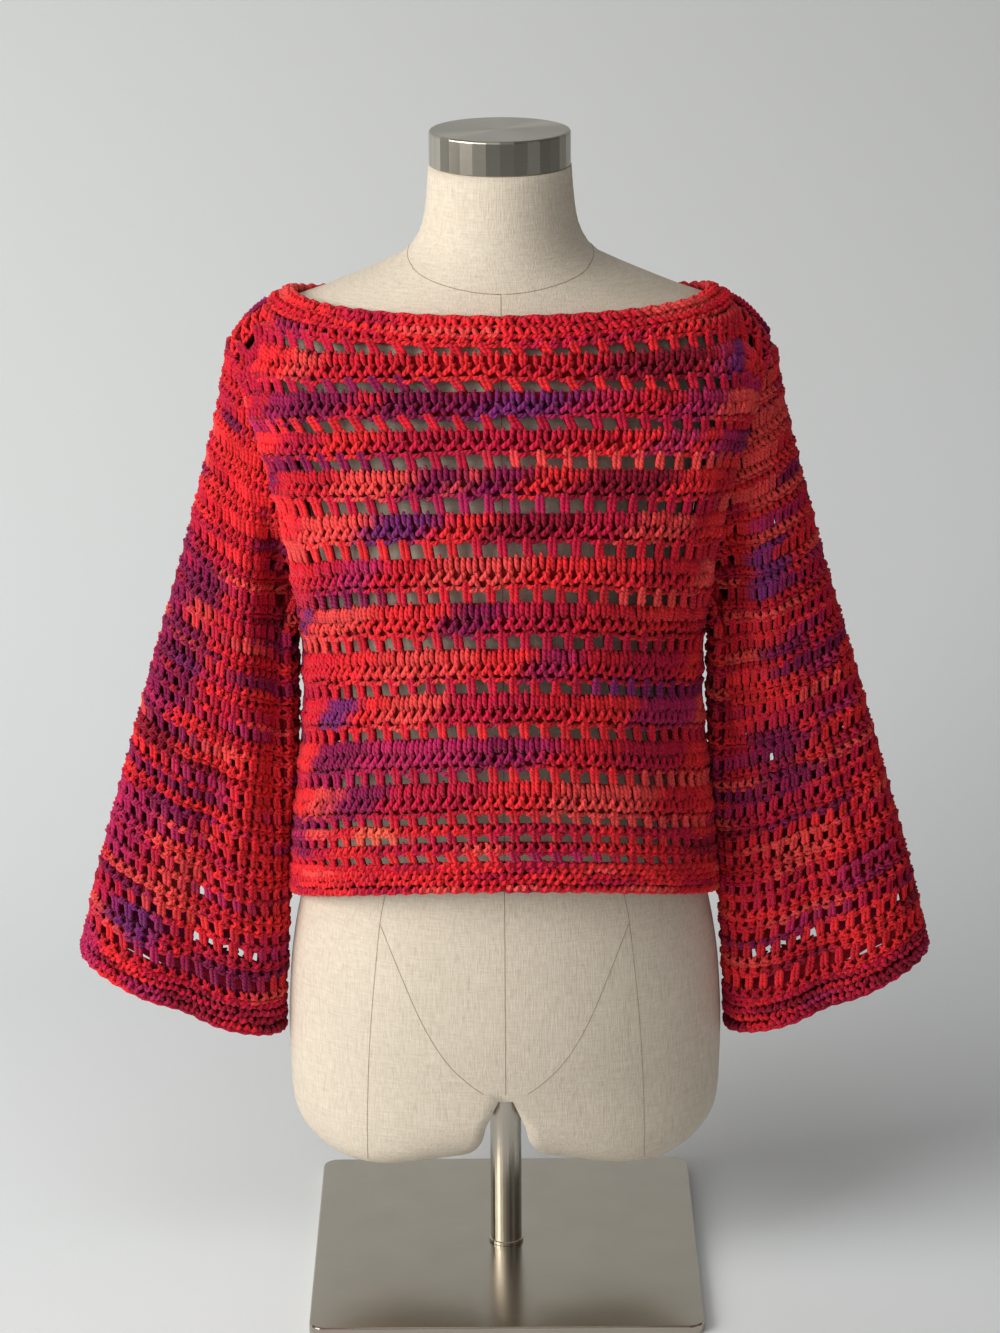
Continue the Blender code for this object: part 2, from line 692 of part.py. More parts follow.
def build_form(material):
    """The dress form: neck, torso and two thigh stubs in one closed body."""
    work = bmesh.new()
    rings = [[work.verts.new(point) for point in form_ring_points(ring)]
             for ring in FORM_RINGS]
    for upper, lower in zip(rings, rings[1:]):
        for index in range(FORM_AROUND):
            following = (index + 1) % FORM_AROUND
            work.faces.new((upper[index], lower[index], lower[following], upper[following]))
    work.faces.new(rings[0])
    last = rings[-1]
    half = FORM_AROUND // 2
    strips = {}
    for sign, front, back in ((1.0, last[0], last[half - 1]), (-1.0, last[-1], last[half])):
        inner = [work.verts.new(front.co.lerp(back.co, step / SPLIT_STEPS))
                 for step in range(1, SPLIT_STEPS)]
        strips[sign] = [front, *inner, back]
    for step in range(SPLIT_STEPS):
        work.faces.new((strips[1.0][step], strips[1.0][step + 1],
                        strips[-1.0][step + 1], strips[-1.0][step]))
    outlines = {
        1.0: last[:half] + strips[1.0][-2:0:-1],
        -1.0: last[:half - 1:-1] + strips[-1.0][-2:0:-1],
    }
    for sign, outline in outlines.items():
        start = [vertex.co.copy() for vertex in outline]
        upper = outline
        for ring in THIGH_RINGS:
            lower = [work.verts.new(point) for point in thigh_ring_points(start, ring, sign)]
            for index in range(len(lower)):
                following = (index + 1) % len(lower)
                work.faces.new((upper[index], upper[following],
                                lower[following], lower[index]))
            upper = lower
        work.faces.new(upper)
    return add_object("dress_form", work, material)


def turned_body(name, profile, material, sharp_degrees):
    """A closed turned body from (radius, height) points that start and end on the axis."""
    work = bmesh.new()
    rings = []
    for radius, height in profile:
        rings.append([work.verts.new((radius * math.cos(2.0 * math.pi * step / ROUND_SEGMENTS),
                                      radius * math.sin(2.0 * math.pi * step / ROUND_SEGMENTS),
                                      height)) for step in range(ROUND_SEGMENTS)])
    for lower, upper in zip(rings, rings[1:]):
        for step in range(ROUND_SEGMENTS):
            following = (step + 1) % ROUND_SEGMENTS
            work.faces.new((lower[step], lower[following], upper[following], upper[step]))
    work.faces.new(rings[0])
    work.faces.new(rings[-1])
    return add_object(name, work, material, sharp_degrees=sharp_degrees)


def build_neck_cap(material):
    """The metal disc on top of the neck, its edges rounded."""
    bottom = FORM_RINGS[0].height + PIECE_GAP
    profile = [(CAP_RADIUS - CAP_ROUND / 3.0, bottom), (CAP_RADIUS, bottom + CAP_ROUND / 3.0)]
    for step in range(4):
        angle = math.radians(30.0 * step)
        profile.append((CAP_RADIUS - CAP_ROUND * (1.0 - math.cos(angle)),
                        CAP_TOP - CAP_ROUND * (1.0 - math.sin(angle))))
    return turned_body("neck_cap", profile, material, 50.0)


def build_pole(material):
    """The pole and the low collar at its foot."""
    bottom = PLATE_THICKNESS + PIECE_GAP
    top = FORM_RINGS[-1].height - PIECE_GAP
    collar_top = bottom + POLE_FOOT_HEIGHT
    profile = [(POLE_FOOT_RADIUS, bottom), (POLE_FOOT_RADIUS, collar_top - POLE_FOOT_ROUND),
               (POLE_FOOT_RADIUS - POLE_FOOT_ROUND, collar_top), (POLE_RADIUS, collar_top),
               (POLE_RADIUS, top)]
    return turned_body("pole", profile, material, 40.0)


def build_base(material):
    """The square plate, with rounded corners and softened edges."""
    work = bmesh.new()
    bmesh.ops.create_cube(work, size=1.0)
    for vertex in work.verts:
        vertex.co = Vector((vertex.co.x * PLATE_SIDE, vertex.co.y * PLATE_SIDE,
                            (vertex.co.z + 0.5) * PLATE_THICKNESS))
    uprights = [edge for edge in work.edges
                if abs(edge.verts[0].co.z - edge.verts[1].co.z) > PLATE_THICKNESS / 2.0]
    bmesh.ops.bevel(work, geom=uprights, offset=PLATE_CORNER, segments=5,
                    affect="EDGES", profile=0.5)
    rims = [edge for edge in work.edges
            if edge.verts[0].co.z > PLATE_THICKNESS - 1e-5
            and edge.verts[1].co.z > PLATE_THICKNESS - 1e-5]
    bmesh.ops.bevel(work, geom=rims, offset=PLATE_EDGE_ROUND, segments=2,
                    affect="EDGES", profile=0.5)
    return add_object("base_plate", work, material, sharp_degrees=50.0)


def main():
    """Build the stand, the form and the sweater."""
    clear_scene()
    yarn = finish("yarn_red", (0.62, 0.035, 0.055), 0.85)
    edging = finish("yarn_edging", (0.70, 0.030, 0.035), 0.85)
    linen = finish("linen_ecru", (0.66, 0.62, 0.52), 0.9)
    steel = finish("steel_brushed", (0.56, 0.55, 0.53), 0.32, 1.0)
    plate_steel = finish("steel_plate", (0.33, 0.31, 0.29), 0.38, 1.0)
    build_base(plate_steel)
    build_pole(steel)
    build_form(linen)
    build_neck_cap(steel)
    build_front(yarn)
    build_back(yarn)
    build_neck_band(edging)
    build_hem_band(edging)
    for name, sign in (("left", -1.0), ("right", 1.0)):
        build_sleeve("sleeve_" + name, sign, yarn)
        build_cuff("cuff_" + name, sign, edging)


main()
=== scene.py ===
"""Looks of the crochet sweater on its dress form: stitches, linen, brushed steel, studio."""

import logging
import math
import random
from collections import namedtuple
from dataclasses import dataclass
from enum import Enum

import bmesh
import bpy
import numpy as np
from mathutils import Matrix, Vector
from mathutils.bvhtree import BVHTree


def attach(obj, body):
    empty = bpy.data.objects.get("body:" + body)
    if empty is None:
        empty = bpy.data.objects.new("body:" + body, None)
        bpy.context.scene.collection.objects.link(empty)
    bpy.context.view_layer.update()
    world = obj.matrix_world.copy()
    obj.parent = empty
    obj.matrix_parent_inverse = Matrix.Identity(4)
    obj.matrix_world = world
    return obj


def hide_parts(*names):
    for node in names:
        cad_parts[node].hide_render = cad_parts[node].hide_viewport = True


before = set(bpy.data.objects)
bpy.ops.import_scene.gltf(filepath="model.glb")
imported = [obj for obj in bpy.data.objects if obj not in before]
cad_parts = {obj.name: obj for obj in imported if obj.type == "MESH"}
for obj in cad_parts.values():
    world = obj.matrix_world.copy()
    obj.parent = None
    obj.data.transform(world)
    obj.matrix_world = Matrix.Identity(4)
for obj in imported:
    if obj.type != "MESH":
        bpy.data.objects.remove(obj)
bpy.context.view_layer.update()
LOG = logging.getLogger("sweater")
ROOT = "root"


def table_of(kind: type, *values: tuple) -> tuple:
    """A table with named columns, from the values of its rows."""
    return tuple(kind(*value) for value in values)


# Body lines of the front and back, as the solids have them
BodyLine = namedtuple("BodyLine", "front_z front_y edge_z back_z back_y")
BODY_LINES = table_of(
    BodyLine,
    (0.7574, 0.0820, 0.7375, 0.7420, 0.0975),
    (0.7490, 0.0865, 0.7262, 0.7330, 0.0995),
    (0.7261, 0.0980, 0.7080, 0.7120, 0.1040),
    (0.7006, 0.1075, 0.6850, 0.6880, 0.1080),
    (0.6754, 0.1170, 0.6580, 0.6620, 0.1105),
    (0.6455, 0.1260, 0.6270, 0.6310, 0.1120),
    (0.6145, 0.1315, 0.5900, 0.5960, 0.1120),
    (0.5811, 0.1340, 0.5490, 0.5560, 0.1110),
    (0.5660, 0.1342, 0.5290, 0.5370, 0.1102),
    (0.5462, 0.1340, 0.5060, 0.5140, 0.1095),
    (0.5121, 0.1335, 0.4690, 0.4770, 0.1085),
    (0.4430, 0.1300, 0.3970, 0.4040, 0.1095),
    (0.3944, 0.1270, 0.3480, 0.3520, 0.1130),
    (0.3715, 0.1250, 0.3270, 0.3300, 0.1155),
    (0.3517, 0.1230, 0.3080, 0.3100, 0.1180),
)
SideLine = namedtuple("SideLine", "height half_width")
SIDE_LINES = table_of(
    SideLine,
    (0.5290, 0.1490),
    (0.4900, 0.1467),
    (0.4500, 0.1475),
    (0.3900, 0.1543),
    (0.3500, 0.1583),
    (0.3050, 0.1612),
)

# Sleeve sections from the armhole down to the cuff's edge, as the solids have them
SleeveRing = namedtuple(
    "SleeveRing", "share outer_x outer_z inner_x inner_z front back drop squareness valley")
SLEEVE_RINGS = table_of(
    SleeveRing,
    (0.00, 0.1975, 0.7375, 0.1490, 0.5290, 0.052, 0.052, 0.556, 2.3, 0.00),
    (0.07, 0.2012, 0.7170, 0.1560, 0.5190, 0.051, 0.052, 0.58, 2.2, 0.16),
    (0.16, 0.2070, 0.6860, 0.1570, 0.5060, 0.050, 0.052, 0.63, 2.1, 0.46),
    (0.30, 0.2205, 0.6320, 0.1572, 0.4820, 0.049, 0.050, 0.72, 2.1, 0.42),
    (0.45, 0.2400, 0.5600, 0.1575, 0.4500, 0.046, 0.047, 0.84, 2.1, 0.20),
    (0.60, 0.2610, 0.4900, 0.1595, 0.4060, 0.043, 0.044, 0.95, 2.2, 0.05),
    (0.76, 0.2830, 0.4130, 0.1650, 0.3450, 0.041, 0.042, 1.05, 2.2, 0.00),
    (0.90, 0.3085, 0.3230, 0.1700, 0.2580, 0.041, 0.042, 1.15, 2.3, 0.00),
    (1.00, 0.3240, 0.2580, 0.1735, 0.1920, 0.042, 0.043, 1.20, 2.3, 0.00),
)

# Dress form sections, as the solids have them
FormRing = namedtuple("FormRing", "height half_width front back")
FORM_RINGS = table_of(
    FormRing,
    (0.8667, 0.0520, 0.0520, 0.0530),
    (0.8469, 0.0535, 0.0530, 0.0545),
    (0.8256, 0.0565, 0.0550, 0.0580),
    (0.8100, 0.0635, 0.0585, 0.0630),
    (0.8000, 0.0735, 0.0615, 0.0680),
    (0.7900, 0.0960, 0.0640, 0.0685),
    (0.7800, 0.1210, 0.0665, 0.0690),
    (0.7720, 0.1420, 0.0690, 0.0700),
    (0.7680, 0.1565, 0.0705, 0.0705),
    (0.7630, 0.1655, 0.0722, 0.0718),
    (0.7530, 0.1705, 0.0765, 0.0765),
    (0.7350, 0.1715, 0.0850, 0.0850),
    (0.7150, 0.1680, 0.0930, 0.0930),
    (0.6900, 0.1610, 0.1010, 0.1000),
    (0.6600, 0.1530, 0.1105, 0.1045),
    (0.6200, 0.1440, 0.1215, 0.1045),
    (0.5850, 0.1395, 0.1260, 0.1020),
    (0.5500, 0.1350, 0.1230, 0.0980),
    (0.4900, 0.1280, 0.1050, 0.0880),
    (0.4300, 0.1220, 0.0890, 0.0800),
    (0.3800, 0.1320, 0.0910, 0.0900),
    (0.3400, 0.1460, 0.0970, 0.1015),
    (0.3000, 0.1565, 0.1010, 0.1110),
    (0.2600, 0.1634, 0.1030, 0.1190),
    (0.2155, 0.1667, 0.1020, 0.1200),
    (0.1900, 0.1672, 0.1000, 0.1165),
    (0.1700, 0.1668, 0.0975, 0.1120),
)
# Thigh stubs below the split, rounder underneath than the solid's
ThighRing = namedtuple("ThighRing", "height inner outer depth_share roundness")
THIGH_RINGS = table_of(
    ThighRing,
    (0.1480, 0.0138, 0.1662, 0.99, 0.05),
    (0.1300, 0.0158, 0.1636, 0.96, 0.18),
    (0.1150, 0.0230, 0.1560, 0.88, 0.46),
    (0.1045, 0.0400, 0.1435, 0.70, 0.84),
    (0.0978, 0.0700, 0.1250, 0.38, 1.00),
)


def read_table(rows: tuple, key: str, column: str, values: np.ndarray) -> np.ndarray:
    """Read a column of a table at values of its key, smooth between the rows.

    Args:
        rows: the table, a tuple of named rows.
        key: the name of the column that is looked up.
        column: the name of the column that is read.
        values: where to read it.

    Returns:
        The column's value at each of the given values.
    """
    keys = np.array([getattr(row, key) for row in rows])
    reads = np.array([getattr(row, column) for row in rows])
    if keys[0] > keys[-1]:
        keys, reads = keys[::-1], reads[::-1]
    slopes = np.empty_like(reads)
    slopes[1:-1] = (reads[2:] - reads[:-2]) / (keys[2:] - keys[:-2])
    slopes[0] = (reads[1] - reads[0]) / (keys[1] - keys[0])
    slopes[-1] = (reads[-1] - reads[-2]) / (keys[-1] - keys[-2])
    at = np.clip(values, keys[0], keys[-1])
    cell = np.clip(np.searchsorted(keys, at, side="right") - 1, 0, len(keys) - 2)
    span = keys[cell + 1] - keys[cell]
    share = (at - keys[cell]) / span
    rise = reads[cell + 1] - reads[cell]
    start = slopes[cell] * span
    end = slopes[cell + 1] * span
    bend = 3.0 * rise - 2.0 * start - end + share * (start + end - 2.0 * rise)
    return reads[cell] + share * (start + share * bend)


def mix(first: np.ndarray, second: np.ndarray, share: np.ndarray) -> np.ndarray:
    """The value a share of the way from the first to the second."""
    return first + (second - first) * share


def unit(vectors: np.ndarray) -> np.ndarray:
    """Vectors along the last axis, each at length one."""
    return vectors / np.maximum(np.linalg.norm(vectors, axis=-1, keepdims=True), 1e-9)


def linear(colour: tuple) -> tuple:
    """A screen colour, 0 to 255, as linear light."""
    shares = (value / 255.0 for value in colour)
    return tuple(s / 12.92 if s <= 0.04045 else ((s + 0.055) / 1.055) ** 2.4 for s in shares)


def spread(around: np.ndarray, places: np.ndarray, tints: np.ndarray) -> np.ndarray:
    """Colours between a row's stitches, one for each place asked for."""
    return np.stack([np.interp(around, places, tints[:, band]) for band in range(3)], axis=1)


def link_item(name: str, data: bpy.types.ID) -> bpy.types.Object:
    """Put new data into the scene as an object."""
    item = bpy.data.objects.new(name, data)
    bpy.context.collection.objects.link(item)
    return item


def smooth_item(name: str, work: bmesh.types.BMesh) -> bpy.types.Object:
    """Turn a finished bmesh into a smooth object, and free it."""
    mesh = bpy.data.meshes.new(name)
    work.to_mesh(mesh)
    work.free()
    mesh.shade_smooth()
    return link_item(name, mesh)


class Tint(Enum):
    """The dye baths of the variegated yarn, as screen colours."""

    SCARLET = (224, 38, 46)
    RED = (202, 24, 44)
    CORAL = (226, 70, 68)
    TANGERINE = (230, 96, 74)
    CRIMSON = (184, 18, 56)
    GARNET = (140, 10, 42)
    PLUM = (128, 16, 70)
    MAGENTA = (172, 28, 84)
    VIOLET = (116, 34, 102)


class Garment:
    """The middle surfaces of the garment, the same as the solids'."""

    SHOULDER_X = 0.1975
    SHOULDER_Z = 0.7375
    UNDERARM_X = 0.1490
    UNDERARM_Z = 0.5290
    UNDERARM_LEVEL = 0.5660
    ARMHOLE_HALF_DEPTH = 0.052
    ARMHOLE_BOW = 1.8
    ARMHOLE_SQUARENESS = 2.3
    LIFT_POWER = 1.3
    NECK_LEVEL = 0.7574
    NECK_CORNER = 0.86
    NECK_BLEND = 0.055
    NECK_BACK_SQUARENESS = 0.85
    NECK_RISE_POWER = 1.3
    BAND_SEAM_X = 0.1680
    BAND_SEAM_Z = 0.7668
    SHOULDER_DROP_POWER = 1.5
    NECK_EDGE_X = 0.1520
    NECK_EDGE_Z = 0.7755
    NECK_EDGE_FRONT_Y = 0.0750
    NECK_EDGE_FRONT_Z = 0.7694
    NECK_EDGE_BACK_Y = 0.0905
    NECK_EDGE_BACK_Z = 0.7575
    HEM_BAND_LEVEL = 0.3715
    HEM_LEVEL = 0.3517
    VALLEY_PLACE = 0.30
    VALLEY_WIDTH = 0.22
    CREASE_DEPTH = 0.010
    CREASE_PLACE = 0.52
    CREASE_WIDTH = 0.13
    CREASE_START = 0.35
    CREASE_BLEND = 0.40

    @classmethod
    def armhole(cls, height: np.ndarray, side: float, sign: np.ndarray) -> np.ndarray:
        """Points of the armhole loop at some heights."""
        share = (height - cls.UNDERARM_Z) / (cls.SHOULDER_Z - cls.UNDERARM_Z)
        share = np.clip(share, 0.0, 1.0)
        across = mix(cls.UNDERARM_X, cls.SHOULDER_X, share ** cls.ARMHOLE_BOW)
        arch = np.maximum(0.0, 1.0 - np.abs(2.0 * share - 1.0) ** cls.ARMHOLE_SQUARENESS)
        depth = cls.ARMHOLE_HALF_DEPTH * arch ** (1.0 / cls.ARMHOLE_SQUARENESS)
        return np.stack([sign * across, side * depth,
                         mix(cls.UNDERARM_Z, cls.SHOULDER_Z, share)], axis=-1)

    @classmethod
    def plain_body(cls, across: np.ndarray, level: np.ndarray, side: float) -> np.ndarray:
        """Body rows before the neckline shapes them."""
        sign = np.where(across < 0.0, -1.0, 1.0)
        height = read_table(BODY_LINES, "front_z", "edge_z", level)
        edge = cls.armhole(np.maximum(height, cls.UNDERARM_Z), side, sign)
        low = level < cls.UNDERARM_LEVEL
        seam_x = sign * read_table(SIDE_LINES, "height", "half_width", height)
        seam = np.stack([seam_x, np.zeros_like(seam_x), height], axis=-1)
        edge = np.where(low[..., None], seam, edge)
        if side < 0:
            centre_z = level
            centre_y = -read_table(BODY_LINES, "front_z", "front_y", level)
        else:
            centre_z = read_table(BODY_LINES, "front_z", "back_z", level)
            centre_y = read_table(BODY_LINES, "front_z", "back_y", level)
        turn = np.abs(across) * math.pi / 2.0
        bulge = np.maximum(np.cos(turn), 0.0)
        return np.stack([edge[..., 0] * np.sin(turn), mix(edge[..., 1], centre_y, bulge),
                         mix(edge[..., 2], centre_z, bulge ** cls.LIFT_POWER)], axis=-1)

    @classmethod
    def neck_loop(cls, turn: np.ndarray, side: np.ndarray, sizes: tuple) -> np.ndarray:
        """Points of a loop round the neck; turn runs from 0 at the middle to a quarter."""
        half_width, side_z, centre_y, centre_z = sizes
        bow = np.maximum(np.cos(turn), 0.0)
        depth = np.where(side < 0, bow, bow ** cls.NECK_BACK_SQUARENESS)
        rise = (1.0 - bow) ** cls.NECK_RISE_POWER
        return np.stack([half_width * np.sin(turn), side * centre_y * depth,
                         mix(centre_z, side_z, rise)], axis=-1)

    @classmethod
    def neck_seam(cls, turn: np.ndarray, side: float) -> np.ndarray:
        """The neck edging's seam on the panels."""
        line = BODY_LINES[0]
        centre = (line.front_y, line.front_z) if side < 0 else (line.back_y, line.back_z)
        return cls.neck_loop(turn, side, (cls.BAND_SEAM_X, cls.BAND_SEAM_Z, *centre))

    @classmethod
    def neck_edge(cls, turn: np.ndarray, side: float) -> np.ndarray:
        """The open neck edge."""
        centre = ((cls.NECK_EDGE_FRONT_Y, cls.NECK_EDGE_FRONT_Z) if side < 0
                  else (cls.NECK_EDGE_BACK_Y, cls.NECK_EDGE_BACK_Z))
        return cls.neck_loop(turn, side, (cls.NECK_EDGE_X, cls.NECK_EDGE_Z, *centre))

    @classmethod
    def top_line(cls, across: np.ndarray, side: float) -> np.ndarray:
        """A panel's top edge: along the neck edging, then along the shoulder seam."""
        sign = np.where(across < 0.0, -1.0, 1.0)
        reach = np.abs(across)
        neck = cls.neck_seam(np.minimum(reach / cls.NECK_CORNER, 1.0) * math.pi / 2.0, side)
        share = np.maximum((reach - cls.NECK_CORNER) / (1.0 - cls.NECK_CORNER), 0.0)
        drop = (cls.BAND_SEAM_Z - cls.SHOULDER_Z) * share ** cls.SHOULDER_DROP_POWER
        shoulder = np.stack([mix(cls.BAND_SEAM_X, cls.SHOULDER_X, share),
                             np.zeros_like(share), cls.BAND_SEAM_Z - drop], axis=-1)
        line = np.where((reach <= cls.NECK_CORNER)[..., None], neck, shoulder)
        line[..., 0] *= sign
        return line

    @classmethod
    def body(cls, across: np.ndarray, level: np.ndarray, side: float) -> np.ndarray:
        """Middle surface of the front (side -1) or the back (side 1)."""
        point = cls.plain_body(across, level, side)
        weight = np.clip(1.0 - (cls.NECK_LEVEL - level) / cls.NECK_BLEND, 0.0, 1.0) ** 2
        top = cls.plain_body(across, np.full_like(level, cls.NECK_LEVEL), side)
        return point + (cls.top_line(across, side) - top) * weight[..., None]

    @classmethod
    def sleeve(cls, turn: np.ndarray, share: np.ndarray, sign: float) -> np.ndarray:
        """Middle surface of a sleeve; turn runs round it from the outer fold by the front."""
        def value(column: str) -> np.ndarray:
            return read_table(SLEEVE_RINGS, "share", column, share)

        inward = (1.0 - np.cos(turn)) / 2.0
        height = np.maximum(1.0 - inward, 0.0) ** value("drop")
        at_front = np.sin(turn) > 0.0
        depth = np.where(at_front, value("front"), value("back"))
        squareness = value("squareness")
        arch = np.maximum(0.0, 1.0 - np.abs(2.0 * height - 1.0) ** squareness)
        arch = arch ** (1.0 / squareness)
        valley = np.exp(-((height - cls.VALLEY_PLACE) / cls.VALLEY_WIDTH) ** 2)
        crease = np.exp(-((inward - cls.CREASE_PLACE) / cls.CREASE_WIDTH) ** 2)
        crease *= cls.CREASE_DEPTH * np.clip((share - cls.CREASE_START) / cls.CREASE_BLEND, 0, 1)
        reach = depth * arch * (1.0 - value("valley") * valley) - crease
        return np.stack([sign * mix(value("outer_x"), value("inner_x"), inward),
                         np.where(at_front, -reach, reach),
                         mix(value("inner_z"), value("outer_z"), height)], axis=-1)


Crease = namedtuple("Crease", "around low high half_width depth lean")


class ClothSurface:
    """A cloth surface with a place across or round it, and a place up it."""

    round_piece = False
    step = (0.002, 0.002)
    outward = 1.0
    creases: tuple = ()

    def base(self, around: np.ndarray, up: np.ndarray) -> np.ndarray:
        """Points of the smooth surface."""
        raise NotImplementedError

    def normal(self, around: np.ndarray, up: np.ndarray) -> np.ndarray:
        """Outward directions."""
        around_step, up_step = self.step
        run = self.base(around + around_step, up) - self.base(around - around_step, up)
        climb = self.base(around, up + up_step) - self.base(around, up - up_step)
        return unit(np.cross(run, climb)) * self.outward

    def relief(self, around: np.ndarray, up: np.ndarray) -> np.ndarray:
        """How far soft troughs and ridges stand out of the smooth surface."""
        total = np.zeros_like(up)
        for crease in self.creases:
            share = (up - crease.low) / (crease.high - crease.low)
            middle = crease.around + crease.lean * (share - 0.5)
            apart = around - middle
            if self.round_piece:
                apart = (apart + 0.5) % 1.0 - 0.5
            along = np.clip(share * (1.0 - share) * 4.0, 0.0, 1.0)
            total += crease.depth * along * np.exp(-(apart / crease.half_width) ** 2)
        return total

    def place(self, around: np.ndarray, up: np.ndarray, out: np.ndarray) -> tuple:
        """Points at a distance out of the cloth.

        Args:
            around: places across or round the cloth.
            up: places up the cloth.
            out: distances out of its middle surface, in metres.

        Returns:
            The points, and the outward direction at each.
        """
        normal = self.normal(around, up)
        reach = out + self.relief(around, up)
        return self.base(around, up) + normal * reach[..., None], normal

    def inside(self, around: np.ndarray, up: np.ndarray) -> np.ndarray:
        """True where the cloth reaches."""
        return np.ones(np.broadcast(around, up).shape, dtype=bool)


@dataclass
class BodySurface(ClothSurface):
    """The front or the back, across -1 to 1 and up by its level."""

    side: float
    creases: tuple = ()
    step: tuple = (0.004, 0.003)

    def __post_init__(self) -> None:
        """Turn the outward direction to the panel's side."""
        self.outward = 1.0 if self.side < 0 else -1.0

    def base(self, around: np.ndarray, up: np.ndarray) -> np.ndarray:
        """Points of the panel's middle surface."""
        across, level = np.broadcast_arrays(np.asarray(around, float), np.asarray(up, float))
        return Garment.body(np.clip(across, -1.0, 1.0),
                            np.clip(level, Garment.HEM_LEVEL, Garment.NECK_LEVEL), self.side)


@dataclass
class NeckSurface(ClothSurface):
    """The neck edging, round 0 to 1 from the middle front, and up 0 to 1."""

    step: tuple = (0.004, 0.1)
    round_piece: bool = True

    def base(self, around: np.ndarray, up: np.ndarray) -> np.ndarray:
        """Points between the edging's seam and its open edge."""
        around, up = np.broadcast_arrays(np.asarray(around, float), np.asarray(up, float))
        angle = (around % 1.0) * 2.0 * math.pi
        at_front = np.cos(angle) > 0.0
        turn = np.arcsin(np.clip(np.abs(np.sin(angle)), 0.0, 1.0))
        sign = np.where(np.sin(angle) < 0.0, -1.0, 1.0)
        seam = np.where(at_front[..., None], Garment.neck_seam(turn, -1.0),
                        Garment.neck_seam(turn, 1.0))
        edge = np.where(at_front[..., None], Garment.neck_edge(turn, -1.0),
                        Garment.neck_edge(turn, 1.0))
        point = mix(seam, edge, up[..., None])
        point[..., 0] *= sign
        return point


@dataclass
class HemSurface(ClothSurface):
    """The hem edging, round 0 to 1 from the middle front, and up by its level."""

    step: tuple = (0.004, 0.003)
    round_piece: bool = True

    def base(self, around: np.ndarray, up: np.ndarray) -> np.ndarray:
        """Points of the two panels' middle surfaces, joined into a tube."""
        around, level = np.broadcast_arrays(np.asarray(around, float), np.asarray(up, float))
        quarter = ((around + 0.25) % 1.0) * 4.0
        level = np.clip(level, Garment.HEM_LEVEL, Garment.NECK_LEVEL)
        front = Garment.body(np.clip(quarter - 1.0, -1.0, 1.0), level, -1.0)
        back = Garment.body(np.clip(3.0 - quarter, -1.0, 1.0), level, 1.0)
        return np.where((quarter < 2.0)[..., None], front, back)


